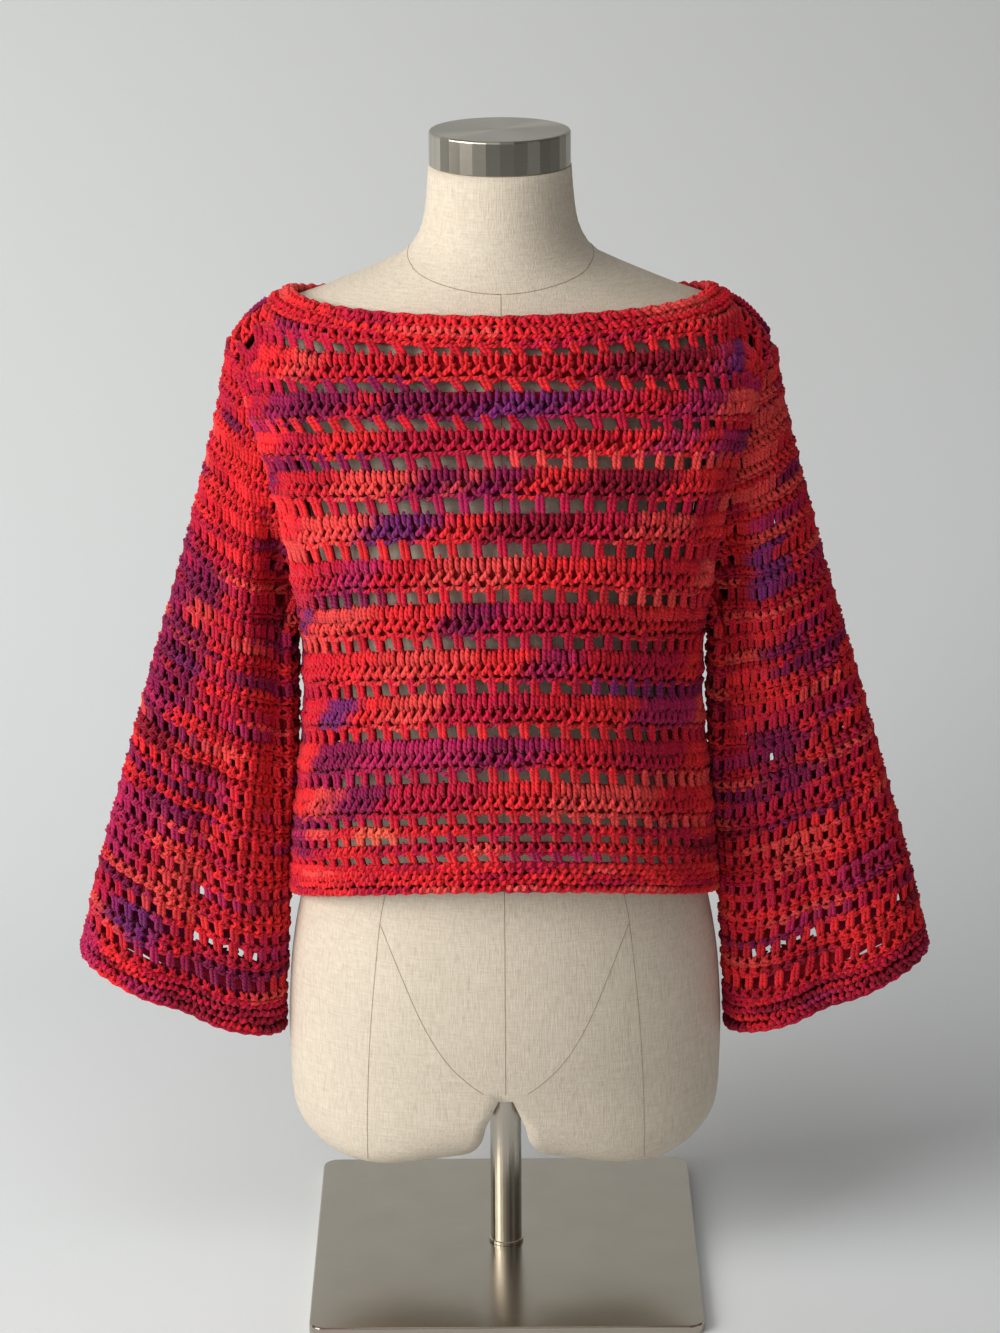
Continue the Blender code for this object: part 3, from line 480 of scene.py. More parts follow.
@dataclass
class SleeveSurface(ClothSurface):
    """A sleeve, round 0 to 1 from the outer fold by the front, up in metres from the cuff."""

    sign: float
    top_angle: float
    creases: tuple = ()
    step: tuple = (0.006, 0.004)
    round_piece: bool = True
    CUFF_ANGLE = 0.414
    EDGE_FOLLOW = 0.045
    TURN_LENGTH = 0.56
    LENGTH = 0.62

    def __post_init__(self) -> None:
        """Work out where each row of the sleeve crosses each line down it."""
        self.outward = self.sign
        turns = np.linspace(0.0, 2.0 * math.pi, 721)
        loop = Garment.sleeve(turns, np.full_like(turns, 0.75), 1.0)
        lengths = np.concatenate([[0.0], np.cumsum(
            np.linalg.norm(np.diff(loop, axis=0), axis=1))])
        self.rounds = lengths / lengths[-1]
        self.turns = turns
        columns = np.interp(np.linspace(0.0, 1.0, 121), self.rounds, turns)
        shares = np.linspace(0.0, 1.0, 161)
        grid = Garment.sleeve(columns[:, None] + shares * 0.0,
                              columns[:, None] * 0.0 + shares, 1.0)
        spans = np.linalg.norm(np.diff(grid, axis=1), axis=2).sum(axis=1)
        head, foot = (np.array([(ring.outer_x + ring.inner_x) / 2.0,
                                (ring.outer_z + ring.inner_z) / 2.0])
                      for ring in (SLEEVE_RINGS[0], SLEEVE_RINGS[-1]))
        axis = (head - foot) / np.linalg.norm(head - foot)
        self.ups = np.linspace(0.0, self.LENGTH, 141)
        table = np.empty((len(columns), len(self.ups)))
        for index, up in enumerate(self.ups):
            angle = mix(self.CUFF_ANGLE, self.top_angle, min(up / self.TURN_LENGTH, 1.0))
            across = np.array([-math.sin(angle), math.cos(angle)])
            apart = (grid[..., [0, 2]] - (foot + axis * up)) @ across
            follow = math.exp(-up / self.EDGE_FOLLOW)
            for column in range(len(columns)):
                line = np.interp(0.0, -apart[column], shares, left=-0.2)
                if apart[column][0] < 0.0:
                    line = -0.2
                edge = 1.0 - up / spans[column]
                table[column, index] = follow * edge + (1.0 - follow) * line
        self.table = table

    def share(self, around: np.ndarray, up: np.ndarray) -> np.ndarray:
        """The share of the way from the armhole down to the cuff."""
        place = (around % 1.0) * (len(self.table) - 1)
        row = np.clip(up / self.LENGTH, 0.0, 1.0) * (len(self.ups) - 1)
        column_cell = np.clip(place.astype(int), 0, len(self.table) - 2)
        row_cell = np.clip(row.astype(int), 0, len(self.ups) - 2)
        column_part = place - column_cell
        row_part = row - row_cell
        low = mix(self.table[column_cell, row_cell], self.table[column_cell + 1, row_cell],
                  column_part)
        high = mix(self.table[column_cell, row_cell + 1],
                   self.table[column_cell + 1, row_cell + 1], column_part)
        return mix(low, high, row_part)

    def base(self, around: np.ndarray, up: np.ndarray) -> np.ndarray:
        """Points of the sleeve's middle surface."""
        around, up = np.broadcast_arrays(np.asarray(around, float), np.asarray(up, float))
        turn = np.interp(around % 1.0, self.rounds, self.turns)
        return Garment.sleeve(turn, np.clip(self.share(around, up), 0.0, 1.0), self.sign)

    def normal(self, around: np.ndarray, up: np.ndarray) -> np.ndarray:
        """Outward directions, from the lines that run down to the cuff."""
        around, up = np.broadcast_arrays(np.asarray(around, float), np.asarray(up, float))
        turn = np.interp(around % 1.0, self.rounds, self.turns)
        share = np.clip(self.share(around, up), 0.0, 1.0)
        run = (Garment.sleeve(turn + 0.03, share, self.sign)
               - Garment.sleeve(turn - 0.03, share, self.sign))
        climb = (Garment.sleeve(turn, np.clip(share - 0.02, 0.0, 1.0), self.sign)
                 - Garment.sleeve(turn, np.clip(share + 0.02, 0.0, 1.0), self.sign))
        return unit(np.cross(run, climb)) * -self.sign

    def inside(self, around: np.ndarray, up: np.ndarray) -> np.ndarray:
        """True where the row hasn't passed the armhole."""
        around, up = np.broadcast_arrays(np.asarray(around, float), np.asarray(up, float))
        return self.share(around, up) > 0.004


Patch = namedtuple("Patch", "low high centre half_width tint")

BAND_WEIGHTS = ((Tint.SCARLET, 0.36), (Tint.RED, 0.27), (Tint.CORAL, 0.11), (Tint.CRIMSON, 0.14),
                (Tint.PLUM, 0.04), (Tint.MAGENTA, 0.04), (Tint.GARNET, 0.03), (Tint.VIOLET, 0.01))
POST_WEIGHTS = ((Tint.CRIMSON, 0.30), (Tint.RED, 0.26), (Tint.SCARLET, 0.16),
                (Tint.MAGENTA, 0.13), (Tint.CORAL, 0.08), (Tint.PLUM, 0.07))
EDGE_WEIGHTS = ((Tint.SCARLET, 0.50), (Tint.RED, 0.26), (Tint.CORAL, 0.12), (Tint.CRIMSON, 0.12))
CUFF_WEIGHTS = ((Tint.CRIMSON, 0.38), (Tint.GARNET, 0.34), (Tint.RED, 0.18),
                (Tint.MAGENTA, 0.06), (Tint.SCARLET, 0.04))


class DyedYarn:
    """Variegated yarn: its colour runs on from stitch to stitch."""

    SHORTEST = 3
    LONGEST = 11
    SHORT_TINTS = (Tint.VIOLET, Tint.TANGERINE, Tint.MAGENTA)

    def __init__(self, seed: int, weights: tuple = BAND_WEIGHTS) -> None:
        """Start a ball of yarn.

        Args:
            seed: the start of its random draws.
            weights: each tint with its share of the yarn.
        """
        self.random = random.Random(seed)
        self.weights = weights
        self.left = 0.0
        self.tint = Tint.RED

    def draw(self) -> Tint:
        """The tint of the next stitch."""
        if self.left <= 0.0:
            names = [tint for tint, _ in self.weights if tint is not self.tint]
            shares = [share for tint, share in self.weights if tint is not self.tint]
            self.tint = self.random.choices(names, shares)[0]
            longest = self.LONGEST * (0.5 if self.tint in self.SHORT_TINTS else 1.0)
            self.left = self.random.uniform(self.SHORTEST, longest)
        self.left -= 1.0
        return self.tint

    def row(self, places: np.ndarray, level: float, patches: tuple = ()) -> np.ndarray:
        """The colours of one row of stitches.

        Args:
            places: the stitches' places across or round the cloth.
            level: the row's place up the cloth.
            patches: areas of the cloth that have a tint of their own.

        Returns:
            A linear colour for each stitch, softened a little into its neighbours.
        """
        tints = [self.draw() for _ in places]
        for patch in patches:
            if not patch.low <= level <= patch.high:
                continue
            reach = patch.half_width * self.random.uniform(0.75, 1.15)
            centre = patch.centre + patch.half_width * self.random.uniform(-0.3, 0.3)
            for index, place in enumerate(places):
                if abs(place - centre) <= reach and self.random.random() < 0.85:
                    tints[index] = patch.tint
        colours = np.array([linear(tint.value) for tint in tints])
        padded = np.concatenate([colours[:1], colours, colours[-1:]])
        soft = 0.22 * padded[:-2] + 0.56 * padded[1:-1] + 0.22 * padded[2:]
        shade = np.array([self.random.uniform(0.84, 1.16) for _ in places])
        return soft * shade[:, None]


class YarnPile:
    """Strands of yarn, gathered for one mesh."""

    def __init__(self, sides: int) -> None:
        """Start with no strands.

        Args:
            sides: how many sides a strand has.
        """
        self.sides = sides
        self.points: list = []
        self.colours: list = []
        self.faces: list = []
        self.lengths: list = []
        self.count = 0

    def add(self, paths: np.ndarray, outs: np.ndarray, radius: float, colours: np.ndarray,
            taper: float = 0.6) -> None:
        """Add strands that share a number of points.

        Args:
            paths: the strands' points, by strand and place along it.
            outs: the cloth's outward direction at each of them.
            radius: half the strand's thickness, in metres.
            colours: a linear colour for each strand, or for each of its points.
            taper: how thick the strand's ends are, as a share of the rest.
        """
        strands, steps, _ = paths.shape
        if strands == 0:
            return
        along = unit(np.gradient(paths, axis=1))
        sideways = unit(np.cross(along, outs))
        upward = np.cross(sideways, along)
        swell = np.ones(steps)
        swell[0] = swell[-1] = taper
        angles = np.arange(self.sides) * 2.0 * math.pi / self.sides
        ring = (np.cos(angles)[:, None] * upward[:, :, None, :]
                + np.sin(angles)[:, None] * sideways[:, :, None, :])
        points = paths[:, :, None, :] + ring * (radius * swell)[None, :, None, None]
        if colours.ndim == 2:
            colours = np.repeat(colours[:, None, :], steps, axis=1)
        colours = np.repeat(colours[:, :, None, :], self.sides, axis=2)
        gaps = np.linalg.norm(np.diff(paths, axis=1), axis=2)
        lengths = np.concatenate([np.zeros((strands, 1)), np.cumsum(gaps, axis=1)], axis=1)
        lengths = np.repeat(lengths[:, :, None], self.sides, axis=2)
        start = (self.count + np.arange(strands) * steps * self.sides)[:, None, None]
        ring_start = (np.arange(steps - 1) * self.sides)[None, :, None]
        here = np.arange(self.sides)[None, None, :]
        following = (here + 1) % self.sides
        quads = np.stack([start + ring_start + here, start + ring_start + following,
                          start + ring_start + self.sides + following,
                          start + ring_start + self.sides + here], axis=-1).reshape(-1, 4)
        self.points.append(points.reshape(-1, 3))
        self.colours.append(colours.reshape(-1, 3))
        self.lengths.append(lengths.reshape(-1))
        first = np.arange(self.sides)[None, ::-1] + start[:, 0]
        last = np.arange(self.sides)[None, :] + start[:, 0] + (steps - 1) * self.sides
        self.faces.append((quads, np.concatenate([first, last])))
        self.count += strands * steps * self.sides

    def build(self, name: str) -> bpy.types.Object:
        """Turn the strands into a mesh object.

        Args:
            name: the piece's name.

        Returns:
            The object, with a dye colour on its points and a map along its strands.
        """
        points = np.concatenate(self.points)
        colours = np.concatenate(self.colours)
        lengths = np.concatenate(self.lengths)
        quads = np.concatenate([pair[0] for pair in self.faces])
        caps = np.concatenate([pair[1] for pair in self.faces])
        mesh = bpy.data.meshes.new(name)
        corners = np.concatenate([quads.ravel(), caps.ravel()])
        starts = np.concatenate([np.arange(len(quads)) * 4,
                                 len(quads) * 4 + np.arange(len(caps)) * self.sides])
        mesh.vertices.add(len(points))
        mesh.vertices.foreach_set("co", points.astype(np.float32).ravel())
        mesh.loops.add(len(corners))
        mesh.loops.foreach_set("vertex_index", corners.astype(np.int32))
        mesh.polygons.add(len(starts))
        mesh.polygons.foreach_set("loop_start", starts.astype(np.int32))
        mesh.update(calc_edges=True)
        mesh.polygons.foreach_set("use_smooth", np.ones(len(starts), dtype=bool))
        dye = mesh.color_attributes.new("dye", "FLOAT_COLOR", "POINT")
        rgba = np.concatenate([colours, np.ones((len(colours), 1))], axis=1)
        dye.data.foreach_set("color", rgba.astype(np.float32).ravel())
        strand = mesh.uv_layers.new(name="strand")
        around = (corners % self.sides) / self.sides
        second = np.tile([0, 1, 1, 0], len(quads))
        around[:len(quads) * 4] = (np.repeat(quads[:, 0] % self.sides, 4) + second) / self.sides
        place = np.stack([lengths[corners], around], axis=1)
        strand.data.foreach_set("uv", place.astype(np.float32).ravel())
        mesh.validate()
        return link_item(name, mesh)


class RowKind(Enum):
    """What a row of the crochet is made of."""

    EYELETS = "posts with an open eyelet between them"
    SOLID = "tall stitches over a row of knots"
    KNOTS = "one low row of knots"
    EDGING = "plump loops in a lattice"
    SEED = "dense small knots"


Row = namedtuple("Row", "kind low high count start end slant")
StrandPoint = namedtuple("StrandPoint", "across up out")

# Strands of a stitch: across in stitch widths, up in row heights, out in yarn radii
LEG_LEFT = table_of(
    StrandPoint,
    (-0.27, 1.02, 0.2),
    (-0.27, 0.86, 1.2),
    (-0.23, 0.68, 1.3),
    (-0.12, 0.50, 0.4),
)
LEG_RIGHT = table_of(
    StrandPoint,
    (0.22, 1.02, 0.2),
    (0.23, 0.86, 1.2),
    (0.22, 0.68, 1.3),
    (0.13, 0.50, 0.4),
)
KNOT_RISING = table_of(
    StrandPoint,
    (-0.48, 0.20, 0.1),
    (-0.27, 0.26, 1.5),
    (0.00, 0.37, 2.0),
    (0.25, 0.50, 1.5),
    (0.40, 0.60, 0.2),
)
KNOT_FALLING = table_of(
    StrandPoint,
    (-0.04, 0.50, 0.6),
    (0.22, 0.37, 1.2),
    (0.42, 0.23, 1.3),
    (0.56, 0.10, 0.3),
)
CHAIN_LOOP = table_of(
    StrandPoint,
    (-0.56, 0.09, 0.2),
    (-0.20, 0.02, 1.1),
    (0.20, 0.03, 1.2),
    (0.56, 0.11, 0.3),
)
LOW_RISING = table_of(
    StrandPoint,
    (-0.46, 0.20, 0.1),
    (-0.20, 0.36, 1.6),
    (0.10, 0.62, 1.8),
    (0.38, 0.92, 0.2),
)
LOW_FALLING = table_of(
    StrandPoint,
    (-0.28, 0.98, 0.0),
    (-0.08, 0.72, 1.1),
    (0.24, 0.38, 1.2),
    (0.50, 0.16, 0.2),
)
EDGE_LEFT = table_of(
    StrandPoint,
    (-0.44, 1.02, 0.1),
    (-0.36, 0.74, 1.5),
    (-0.20, 0.42, 1.7),
    (0.02, 0.08, 0.6),
)
EDGE_RIGHT = table_of(
    StrandPoint,
    (0.42, 0.98, 0.0),
    (0.37, 0.70, 1.3),
    (0.22, 0.40, 1.4),
    (0.04, 0.04, 0.3),
)
SEED_BUMP = table_of(
    StrandPoint,
    (-0.40, 0.16, 0.1),
    (-0.16, 0.34, 1.5),
    (0.12, 0.64, 1.6),
    (0.34, 0.86, 0.1),
)
SEED_UNDER = table_of(
    StrandPoint,
    (0.10, 0.98, 0.3),
    (0.36, 0.72, 1.0),
    (0.58, 0.36, 1.0),
    (0.72, 0.12, 0.1),
)

# Strands of each kind of row, in working order: thickness in yarn radii, colour shift in
# stitches, painted shade where it lies under others
Strand = namedtuple("Strand", "path thickness shift dim")
STRANDS = {
    RowKind.SOLID: (
        Strand(LEG_LEFT, 1.0, 2, True), Strand(LEG_RIGHT, 1.0, 1, False),
        Strand(KNOT_RISING, 1.08, 0, False), Strand(KNOT_FALLING, 1.0, 0, True),
        Strand(CHAIN_LOOP, 1.0, -1, True)),
    RowKind.KNOTS: (
        Strand(LOW_RISING, 1.0, 0, False), Strand(LOW_FALLING, 0.94, 0, True),
        Strand(CHAIN_LOOP, 0.94, 0, True)),
    RowKind.EDGING: (
        Strand(EDGE_LEFT, 1.0, 0, False), Strand(EDGE_RIGHT, 0.94, 0, True),
        Strand(CHAIN_LOOP, 0.9, 0, True)),
    RowKind.SEED: (
        Strand(SEED_BUMP, 1.0, 0, False), Strand(SEED_UNDER, 0.92, 0, True)),
}


@dataclass
class Crochet:
    """Works rows of stitches over a cloth surface."""

    surface: ClothSurface
    radius: float
    sides: int
    seed: int
    charts: tuple = ()
    post_radius: float = 0.0020
    post_half_width: float = 0.0017
    weights: tuple = BAND_WEIGHTS
    sway: float = 0.06
    # Painted shade: the strands that lie under others are darkened by this factor
    DIM = 0.92
    STAND_SPREAD = 0.18
    POST_STEPS = 6
    HEAD_LIFT = 0.34
    HEAD_SPREAD = 0.06
    FOOT_REACH = 1.12
    TILT_SPREAD = 0.12
    TWIST_SPREAD = 0.4
    POST_TURN = 1.1
    HEAD_LENGTH = 0.24
    HEAD_HEIGHT = 1.2
    NECK_LENGTH = 0.10
    NECK_DEPTH = 0.35
    LOOK_AHEAD = 0.002

    def __post_init__(self) -> None:
        """Start with no stitches."""
        self.pile = YarnPile(self.sides)
        self.draws = np.random.default_rng(self.seed)
        self.yarn = DyedYarn(self.seed, self.weights)
        self.post_yarn = DyedYarn(self.seed + 7, POST_WEIGHTS)

    def waver(self, around: np.ndarray, phase: float) -> np.ndarray:
        """How far a row strays from its line, in metres, as hand work does."""
        return 0.00055 * np.sin(around * 9.0 + phase) + 0.00035 * np.sin(around * 23.0 - phase)

    def strands(self, row: Row, centres: np.ndarray, colours: np.ndarray, path: tuple,
                radius: float) -> None:
        """Work one strand of each stitch of a row.

        Args:
            row: the row.
            centres: the stitches' places across or round the cloth.
            colours: the stitches' colours.
            path: the strand's points in the stitch.
            radius: half the strand's thickness.
        """
        width = (row.end - row.start) / row.count
        height = row.high - row.low
        sway = self.draws.normal(0.0, self.sway, (len(centres), 1)) * width
        lift = self.draws.normal(0.0, self.sway * 0.7, (len(centres), 1)) * height
        stand = self.draws.normal(0.0, self.STAND_SPREAD, (len(centres), 1)) * self.radius
        across = np.array([point.across for point in path])
        up = np.array([point.up for point in path])
        out = np.array([point.out for point in path])
        around = centres[:, None] + across * width + sway
        level = row.low + up * height + lift + self.waver(around, row.low * 900.0)
        keep = self.surface.inside(centres, np.full_like(centres, (row.low + row.high) / 2.0))
        paths, outs = self.surface.place(around[keep], level[keep],
                                         (out * self.radius + stand)[keep])
        self.pile.add(paths, outs, radius, colours[keep])

    def posts(self, row: Row, centres: np.ndarray, colours: np.ndarray) -> None:
        """Work the plump two-strand posts that stand between eyelets."""
        height = row.high - row.low
        steps = np.linspace(0.0, 1.0, self.POST_STEPS)
        keep = self.surface.inside(centres, np.full_like(centres, (row.low + row.high) / 2.0))
        centres, colours = centres[keep], colours[keep]
        head_lift = self.draws.normal(self.HEAD_LIFT, self.HEAD_SPREAD, (len(centres), 1))
        level = row.high + (head_lift - steps * (self.FOOT_REACH + head_lift)) * height
        tilt = self.draws.normal(0.0, self.TILT_SPREAD, len(centres)) * row.slant
        lean = (row.slant + tilt)[:, None] * (steps - 0.5)
        around = centres[:, None] + lean
        level = level + self.waver(around, row.low * 900.0)
        twist = self.draws.uniform(-self.TWIST_SPREAD, self.TWIST_SPREAD, len(centres))[:, None]
        near, outs = self.surface.place(around, level, np.zeros_like(lean))
        ahead, _ = self.surface.place(around + self.LOOK_AHEAD, level, np.zeros_like(lean))
        sideways = unit(ahead - near)
        head = np.exp(-(steps / self.HEAD_LENGTH) ** 2) * self.HEAD_HEIGHT
        narrow = 1.0 - self.NECK_DEPTH * np.exp(-(steps / self.NECK_LENGTH) ** 2)
        for phase in (0.0, math.pi):
            angle = (steps - 0.5) * self.POST_TURN + phase + twist
            swing = np.cos(angle) * self.post_half_width * narrow
            out = (0.7 + head + 0.5 * np.sin(angle)) * self.radius
            out[:, -1] -= 1.0 * self.radius
            paths = near + sideways * swing[..., None] + outs * out[..., None]
            self.pile.add(paths, outs, self.post_radius, colours, taper=0.78)

    def cord(self, around: np.ndarray, up: np.ndarray, out: float, colours: np.ndarray,
             radius: float, wave: float = 0.0) -> None:
        """Lay one long strand along the cloth."""
        wobble = wave * np.sin(np.arange(len(around)) * math.pi * 0.5) * self.radius
        paths, outs = self.surface.place(around, up, out * self.radius + wobble)
        self.pile.add(paths[None], outs[None], radius, colours[None])

    def row(self, row: Row) -> tuple:
        """Work one row of the crochet.

        Args:
            row: the row.

        Returns:
            The stitches' places, and their colours.
        """
        width = (row.end - row.start) / row.count
        centres = row.start + width * (np.arange(row.count) + 0.5)
        level = (row.low + row.high) / 2.0
        if row.kind is RowKind.EYELETS:
            places = centres - width / 2.0
            if not self.surface.round_piece:
                places = np.append(places, row.end)
            colours = self.post_yarn.row(places, level, self.charts)
            self.posts(row, places, colours)
            return places, colours
        colours = self.yarn.row(centres, level, self.charts)
        # Painted shade on the strands that lie under the others
        dim = colours * self.DIM
        for strand in STRANDS[row.kind]:
            shades = np.roll(dim if strand.dim else colours, strand.shift, axis=0)
            self.strands(row, centres, shades, strand.path, self.radius * strand.thickness)
        return centres, colours

    def build(self, name: str) -> bpy.types.Object:
        """The stitches as one mesh object."""
        return self.pile.build(name)


class Wire:
    """A node's output in a material, for maths written as expressions."""

    def __init__(self, paint: "Paint", socket: bpy.types.NodeSocket) -> None:
        """Hold the socket and the material that it is in."""
        self.paint = paint
        self.socket = socket

    def maths(self, operation: str, *values: object) -> "Wire":
        """A Math node on this socket and other values."""
        sockets = {index: value for index, value in enumerate((self, *values))}
        return self.paint.node("ShaderNodeMath", {"operation": operation}, sockets)

    def __add__(self, other: object) -> "Wire":
        """Sum."""
        return self.maths("ADD", other)

    __radd__ = __add__

    def __mul__(self, other: object) -> "Wire":
        """Product."""
        return self.maths("MULTIPLY", other)

    def __sub__(self, other: object) -> "Wire":
        """Difference."""
        return self.maths("SUBTRACT", other)

    def __rsub__(self, other: float) -> "Wire":
        """A number less this."""
        return self.paint.node("ShaderNodeMath", {"operation": "SUBTRACT"}, {0: other, 1: self})


class Paint:
    """A material with a Principled shader, built from nodes."""

    def __init__(self, name: str) -> None:
        """Start a material.

        Args:
            name: the material's name.
        """
        self.material = bpy.data.materials.new(name)
        self.material.use_nodes = True
        self.tree = self.material.node_tree
        self.shader = self.tree.nodes["Principled BSDF"]

    def node(self, kind: str, settings: dict, sockets: dict, output: object = 0) -> Wire:
        """Add a node.

        Args:
            kind: the node's type.
            settings: its settings, set first.
            sockets: values or wires for its inputs, by name or number.
            output: which of its outputs is returned.

        Returns:
            The wire of that output.
        """
        node = self.tree.nodes.new(kind)
        for key, value in settings.items():
            setattr(node, key, value)
        for key, value in sockets.items():
            self.feed(node.inputs[key], value)
        return Wire(self, node.outputs[output])

    def feed(self, socket: bpy.types.NodeSocket, value: object) -> None:
        """Link a wire to a socket, or set its value."""
        if isinstance(value, Wire):
            self.tree.links.new(value.socket, socket)
        else:
            socket.default_value = value

    def blend(self, factor: object, first: object, second: object) -> Wire:
        """A mix of two colours."""
        sockets = {0: factor, 6: first, 7: second}
        settings = {"data_type": "RGBA", "clamp_factor": True}
        return self.node("ShaderNodeMix", settings, sockets, 2)

    def shaded(self, colour: object, factor: object) -> Wire:
        """A colour times a number."""
        return self.node("ShaderNodeVectorMath", {"operation": "SCALE"}, {0: colour, 3: factor})

    def noise(self, vector: object, scale: float, detail: float = 2.0) -> Wire:
        """Smooth noise, 0 to 1."""
        sockets = {"Vector": vector, "Scale": scale, "Detail": detail}
        return self.node("ShaderNodeTexNoise", {}, sockets, "Fac")

    def stretched(self, vector: object, scale: tuple) -> Wire:
        """Coordinates scaled along each axis."""
        return self.node("ShaderNodeMapping", {}, {"Vector": vector, "Scale": scale})

    def object_place(self) -> Wire:
        """The place on the object, in metres."""
        return self.node("ShaderNodeTexCoord", {}, {}, "Object")

    def bump(self, height: Wire, distance: float, strength: float = 1.0) -> Wire:
        """A Bump node's normal."""
        sockets = {"Height": height, "Distance": distance, "Strength": strength}
        return self.node("ShaderNodeBump", {}, sockets, "Normal")

    def set(self, **sockets: object) -> None:
        """Feed the shader's sockets; an underscore in a name stands for a space."""
        for name, value in sockets.items():
            self.feed(self.shader.inputs[name.replace("_", " ")], value)


@dataclass(frozen=True)
class YarnFinish:
    """Soft two-ply wool in the stitches, with painted shade in its ply grooves and painted
    highlights on its fuzz.
    """

    name: str
    base_light: float = 0.56
    ply_pitch: float = 0.0036
    ply_depth: float = 0.0008

    def material(self) -> bpy.types.Material:
        """The yarn's material."""
        paint = Paint(self.name)
        dye = paint.node("ShaderNodeAttribute", {"attribute_name": "dye"}, {}, "Color")
        strand = paint.node("ShaderNodeUVMap", {"uv_map": "strand"}, {})
        split = paint.node("ShaderNodeSeparateXYZ", {}, {0: strand}, "X")
        around = Wire(paint, split.socket.node.outputs["Y"])
        turns = split * (2.0 * math.pi / self.ply_pitch) + around * (4.0 * math.pi)
        ply = turns.maths("SINE")
        place = paint.object_place()
        # Fine fibre bumps, and painted highlights as bright speckles in the colour
        fuzz_and_glints = paint.noise(place, 800.0, 3.0)
        patchy = paint.noise(place, 150.0, 2.0)
        # Painted light in the colour: the ply term is painted shade in the grooves between the
        # plies, the fuzz term painted highlights; the patchy term is the yarn's own uneven tone
        tone_and_painted_light = self.base_light + ply * 0.13 + fuzz_and_glints * 0.84 + patchy * 0.44
        paint.set(Base_Color=paint.shaded(dye, tone_and_painted_light), Roughness=0.82,
                  Normal=paint.bump(ply * 0.7 + fuzz_and_glints * 0.6, self.ply_depth, 0.8))
        paint.set(Sheen_Weight=0.24, Sheen_Roughness=0.4, Sheen_Tint=(1.0, 0.42, 0.40, 1.0))
        paint.set(Specular_IOR_Level=0.28, Specular_Tint=(1.0, 0.60, 0.56, 1.0))
        return paint.material


@dataclass(frozen=True)
class ShadeBackingFinish:
    """The dark backing sheet behind the stitches, darkened as painted shade for the gaps between
    the strands.
    """

    name: str
    # How dark the backing is painted, as painted shade
    shade: float = 0.46

    def material(self) -> bpy.types.Material:
        """The ground's material."""
        paint = Paint(self.name)
        dye = paint.node("ShaderNodeAttribute", {"attribute_name": "dye"}, {}, "Color")
        place = paint.object_place()
        loops = paint.noise(place, 260.0, 3.0)
        # The dye darkened by the shade factor: painted shade in the gaps between the stitches
        paint.set(Base_Color=paint.shaded(dye, self.shade * 0.5 + loops * self.shade),
                  Roughness=0.95, Normal=paint.bump(loops, 0.0015))
        paint.set(Specular_IOR_Level=0.1)
        return paint.material


@dataclass(frozen=True)
class LinenFinish:
    """Undyed linen with slubs, stretched over the form."""

    name: str
    light: tuple = (231, 220, 203)
    dark: tuple = (203, 189, 168)
    slub: tuple = (172, 156, 132)

    def material(self) -> bpy.types.Material:
        """The linen's material."""
        paint = Paint(self.name)
        place = paint.object_place()
        warp = paint.noise(paint.stretched(place, (1100.0, 1100.0, 90.0)), 1.0, 2.0)
        weft = paint.noise(paint.stretched(place, (90.0, 90.0, 1200.0)), 1.0, 2.0)
        cloudy = paint.noise(place, 14.0, 3.0)
        weave = warp * 0.55 + weft * 0.45
        ground = paint.blend((weave - 0.30) * 2.4, (*linear(self.dark), 1.0),
                             (*linear(self.light), 1.0))
        rare = paint.noise(paint.stretched(place, (420.0, 420.0, 60.0)), 1.0, 1.0)
        slubs = (rare - 0.66).maths("MULTIPLY", 5.0).maths("MINIMUM", 0.22)
        colour = paint.blend(slubs.maths("MAXIMUM", 0.0), ground, (*linear(self.slub), 1.0))
        colour = paint.shaded(colour, 0.94 + cloudy * 0.12)
        paint.set(Base_Color=colour, Roughness=0.9, Normal=paint.bump(weave, 0.0008, 0.8))
        paint.set(Sheen_Weight=0.1, Sheen_Roughness=0.5, Specular_IOR_Level=0.15)
        return paint.material


class Grain(Enum):
    """How the metal was brushed, as the stretch of its streaks."""

    ROUND = (9.0, 9.0, 1500.0)
    ALONG_X = (14.0, 1500.0, 1500.0)
    LENGTHWISE = (1500.0, 1500.0, 9.0)


@dataclass(frozen=True)
class SteelFinish:
    """Brushed steel; on a turned face, a bright wedge is painted into the colour as a painted
    highlight.
    """

    name: str
    colour: tuple
    grain: Grain
    roughness: float
    streak: float = 0.16
    # How strongly the bright wedge is painted in, as a painted highlight
    painted_highlight_wedge: float = 0.0
    anisotropy: float = 0.5

    def material(self) -> bpy.types.Material:
        """The metal's material."""
        paint = Paint(self.name)
        place = paint.object_place()
        streaks = paint.noise(paint.stretched(place, self.grain.value), 1.0, 3.0)
        cloudy = paint.noise(place, 26.0, 3.0)
        tone = 1.0 - self.streak * 0.5 - 0.09 + streaks * self.streak + cloudy * 0.18
        # Painted highlight: the colour is lightened in a narrow wedge by the angle round the
        # object, for the turned face's bright reflection
        if self.painted_highlight_wedge:
            split = paint.node("ShaderNodeSeparateXYZ", {}, {0: place}, "X")
            along = Wire(paint, split.socket.node.outputs["Y"])
            angle = along.maths("ARCTAN2", split) - 0.62
            painted_glint = angle.maths("COSINE").maths("ABSOLUTE").maths("POWER", 26.0)
            tone = tone + painted_glint * self.painted_highlight_wedge
        paint.set(Base_Color=paint.shaded((*linear(self.colour),), tone),
                  Roughness=self.roughness + (streaks - 0.5) * self.streak * 0.6,
                  Normal=paint.bump(streaks, 0.00004, self.streak))
        paint.set(Metallic=1.0, Anisotropic=self.anisotropy)
        return paint.material


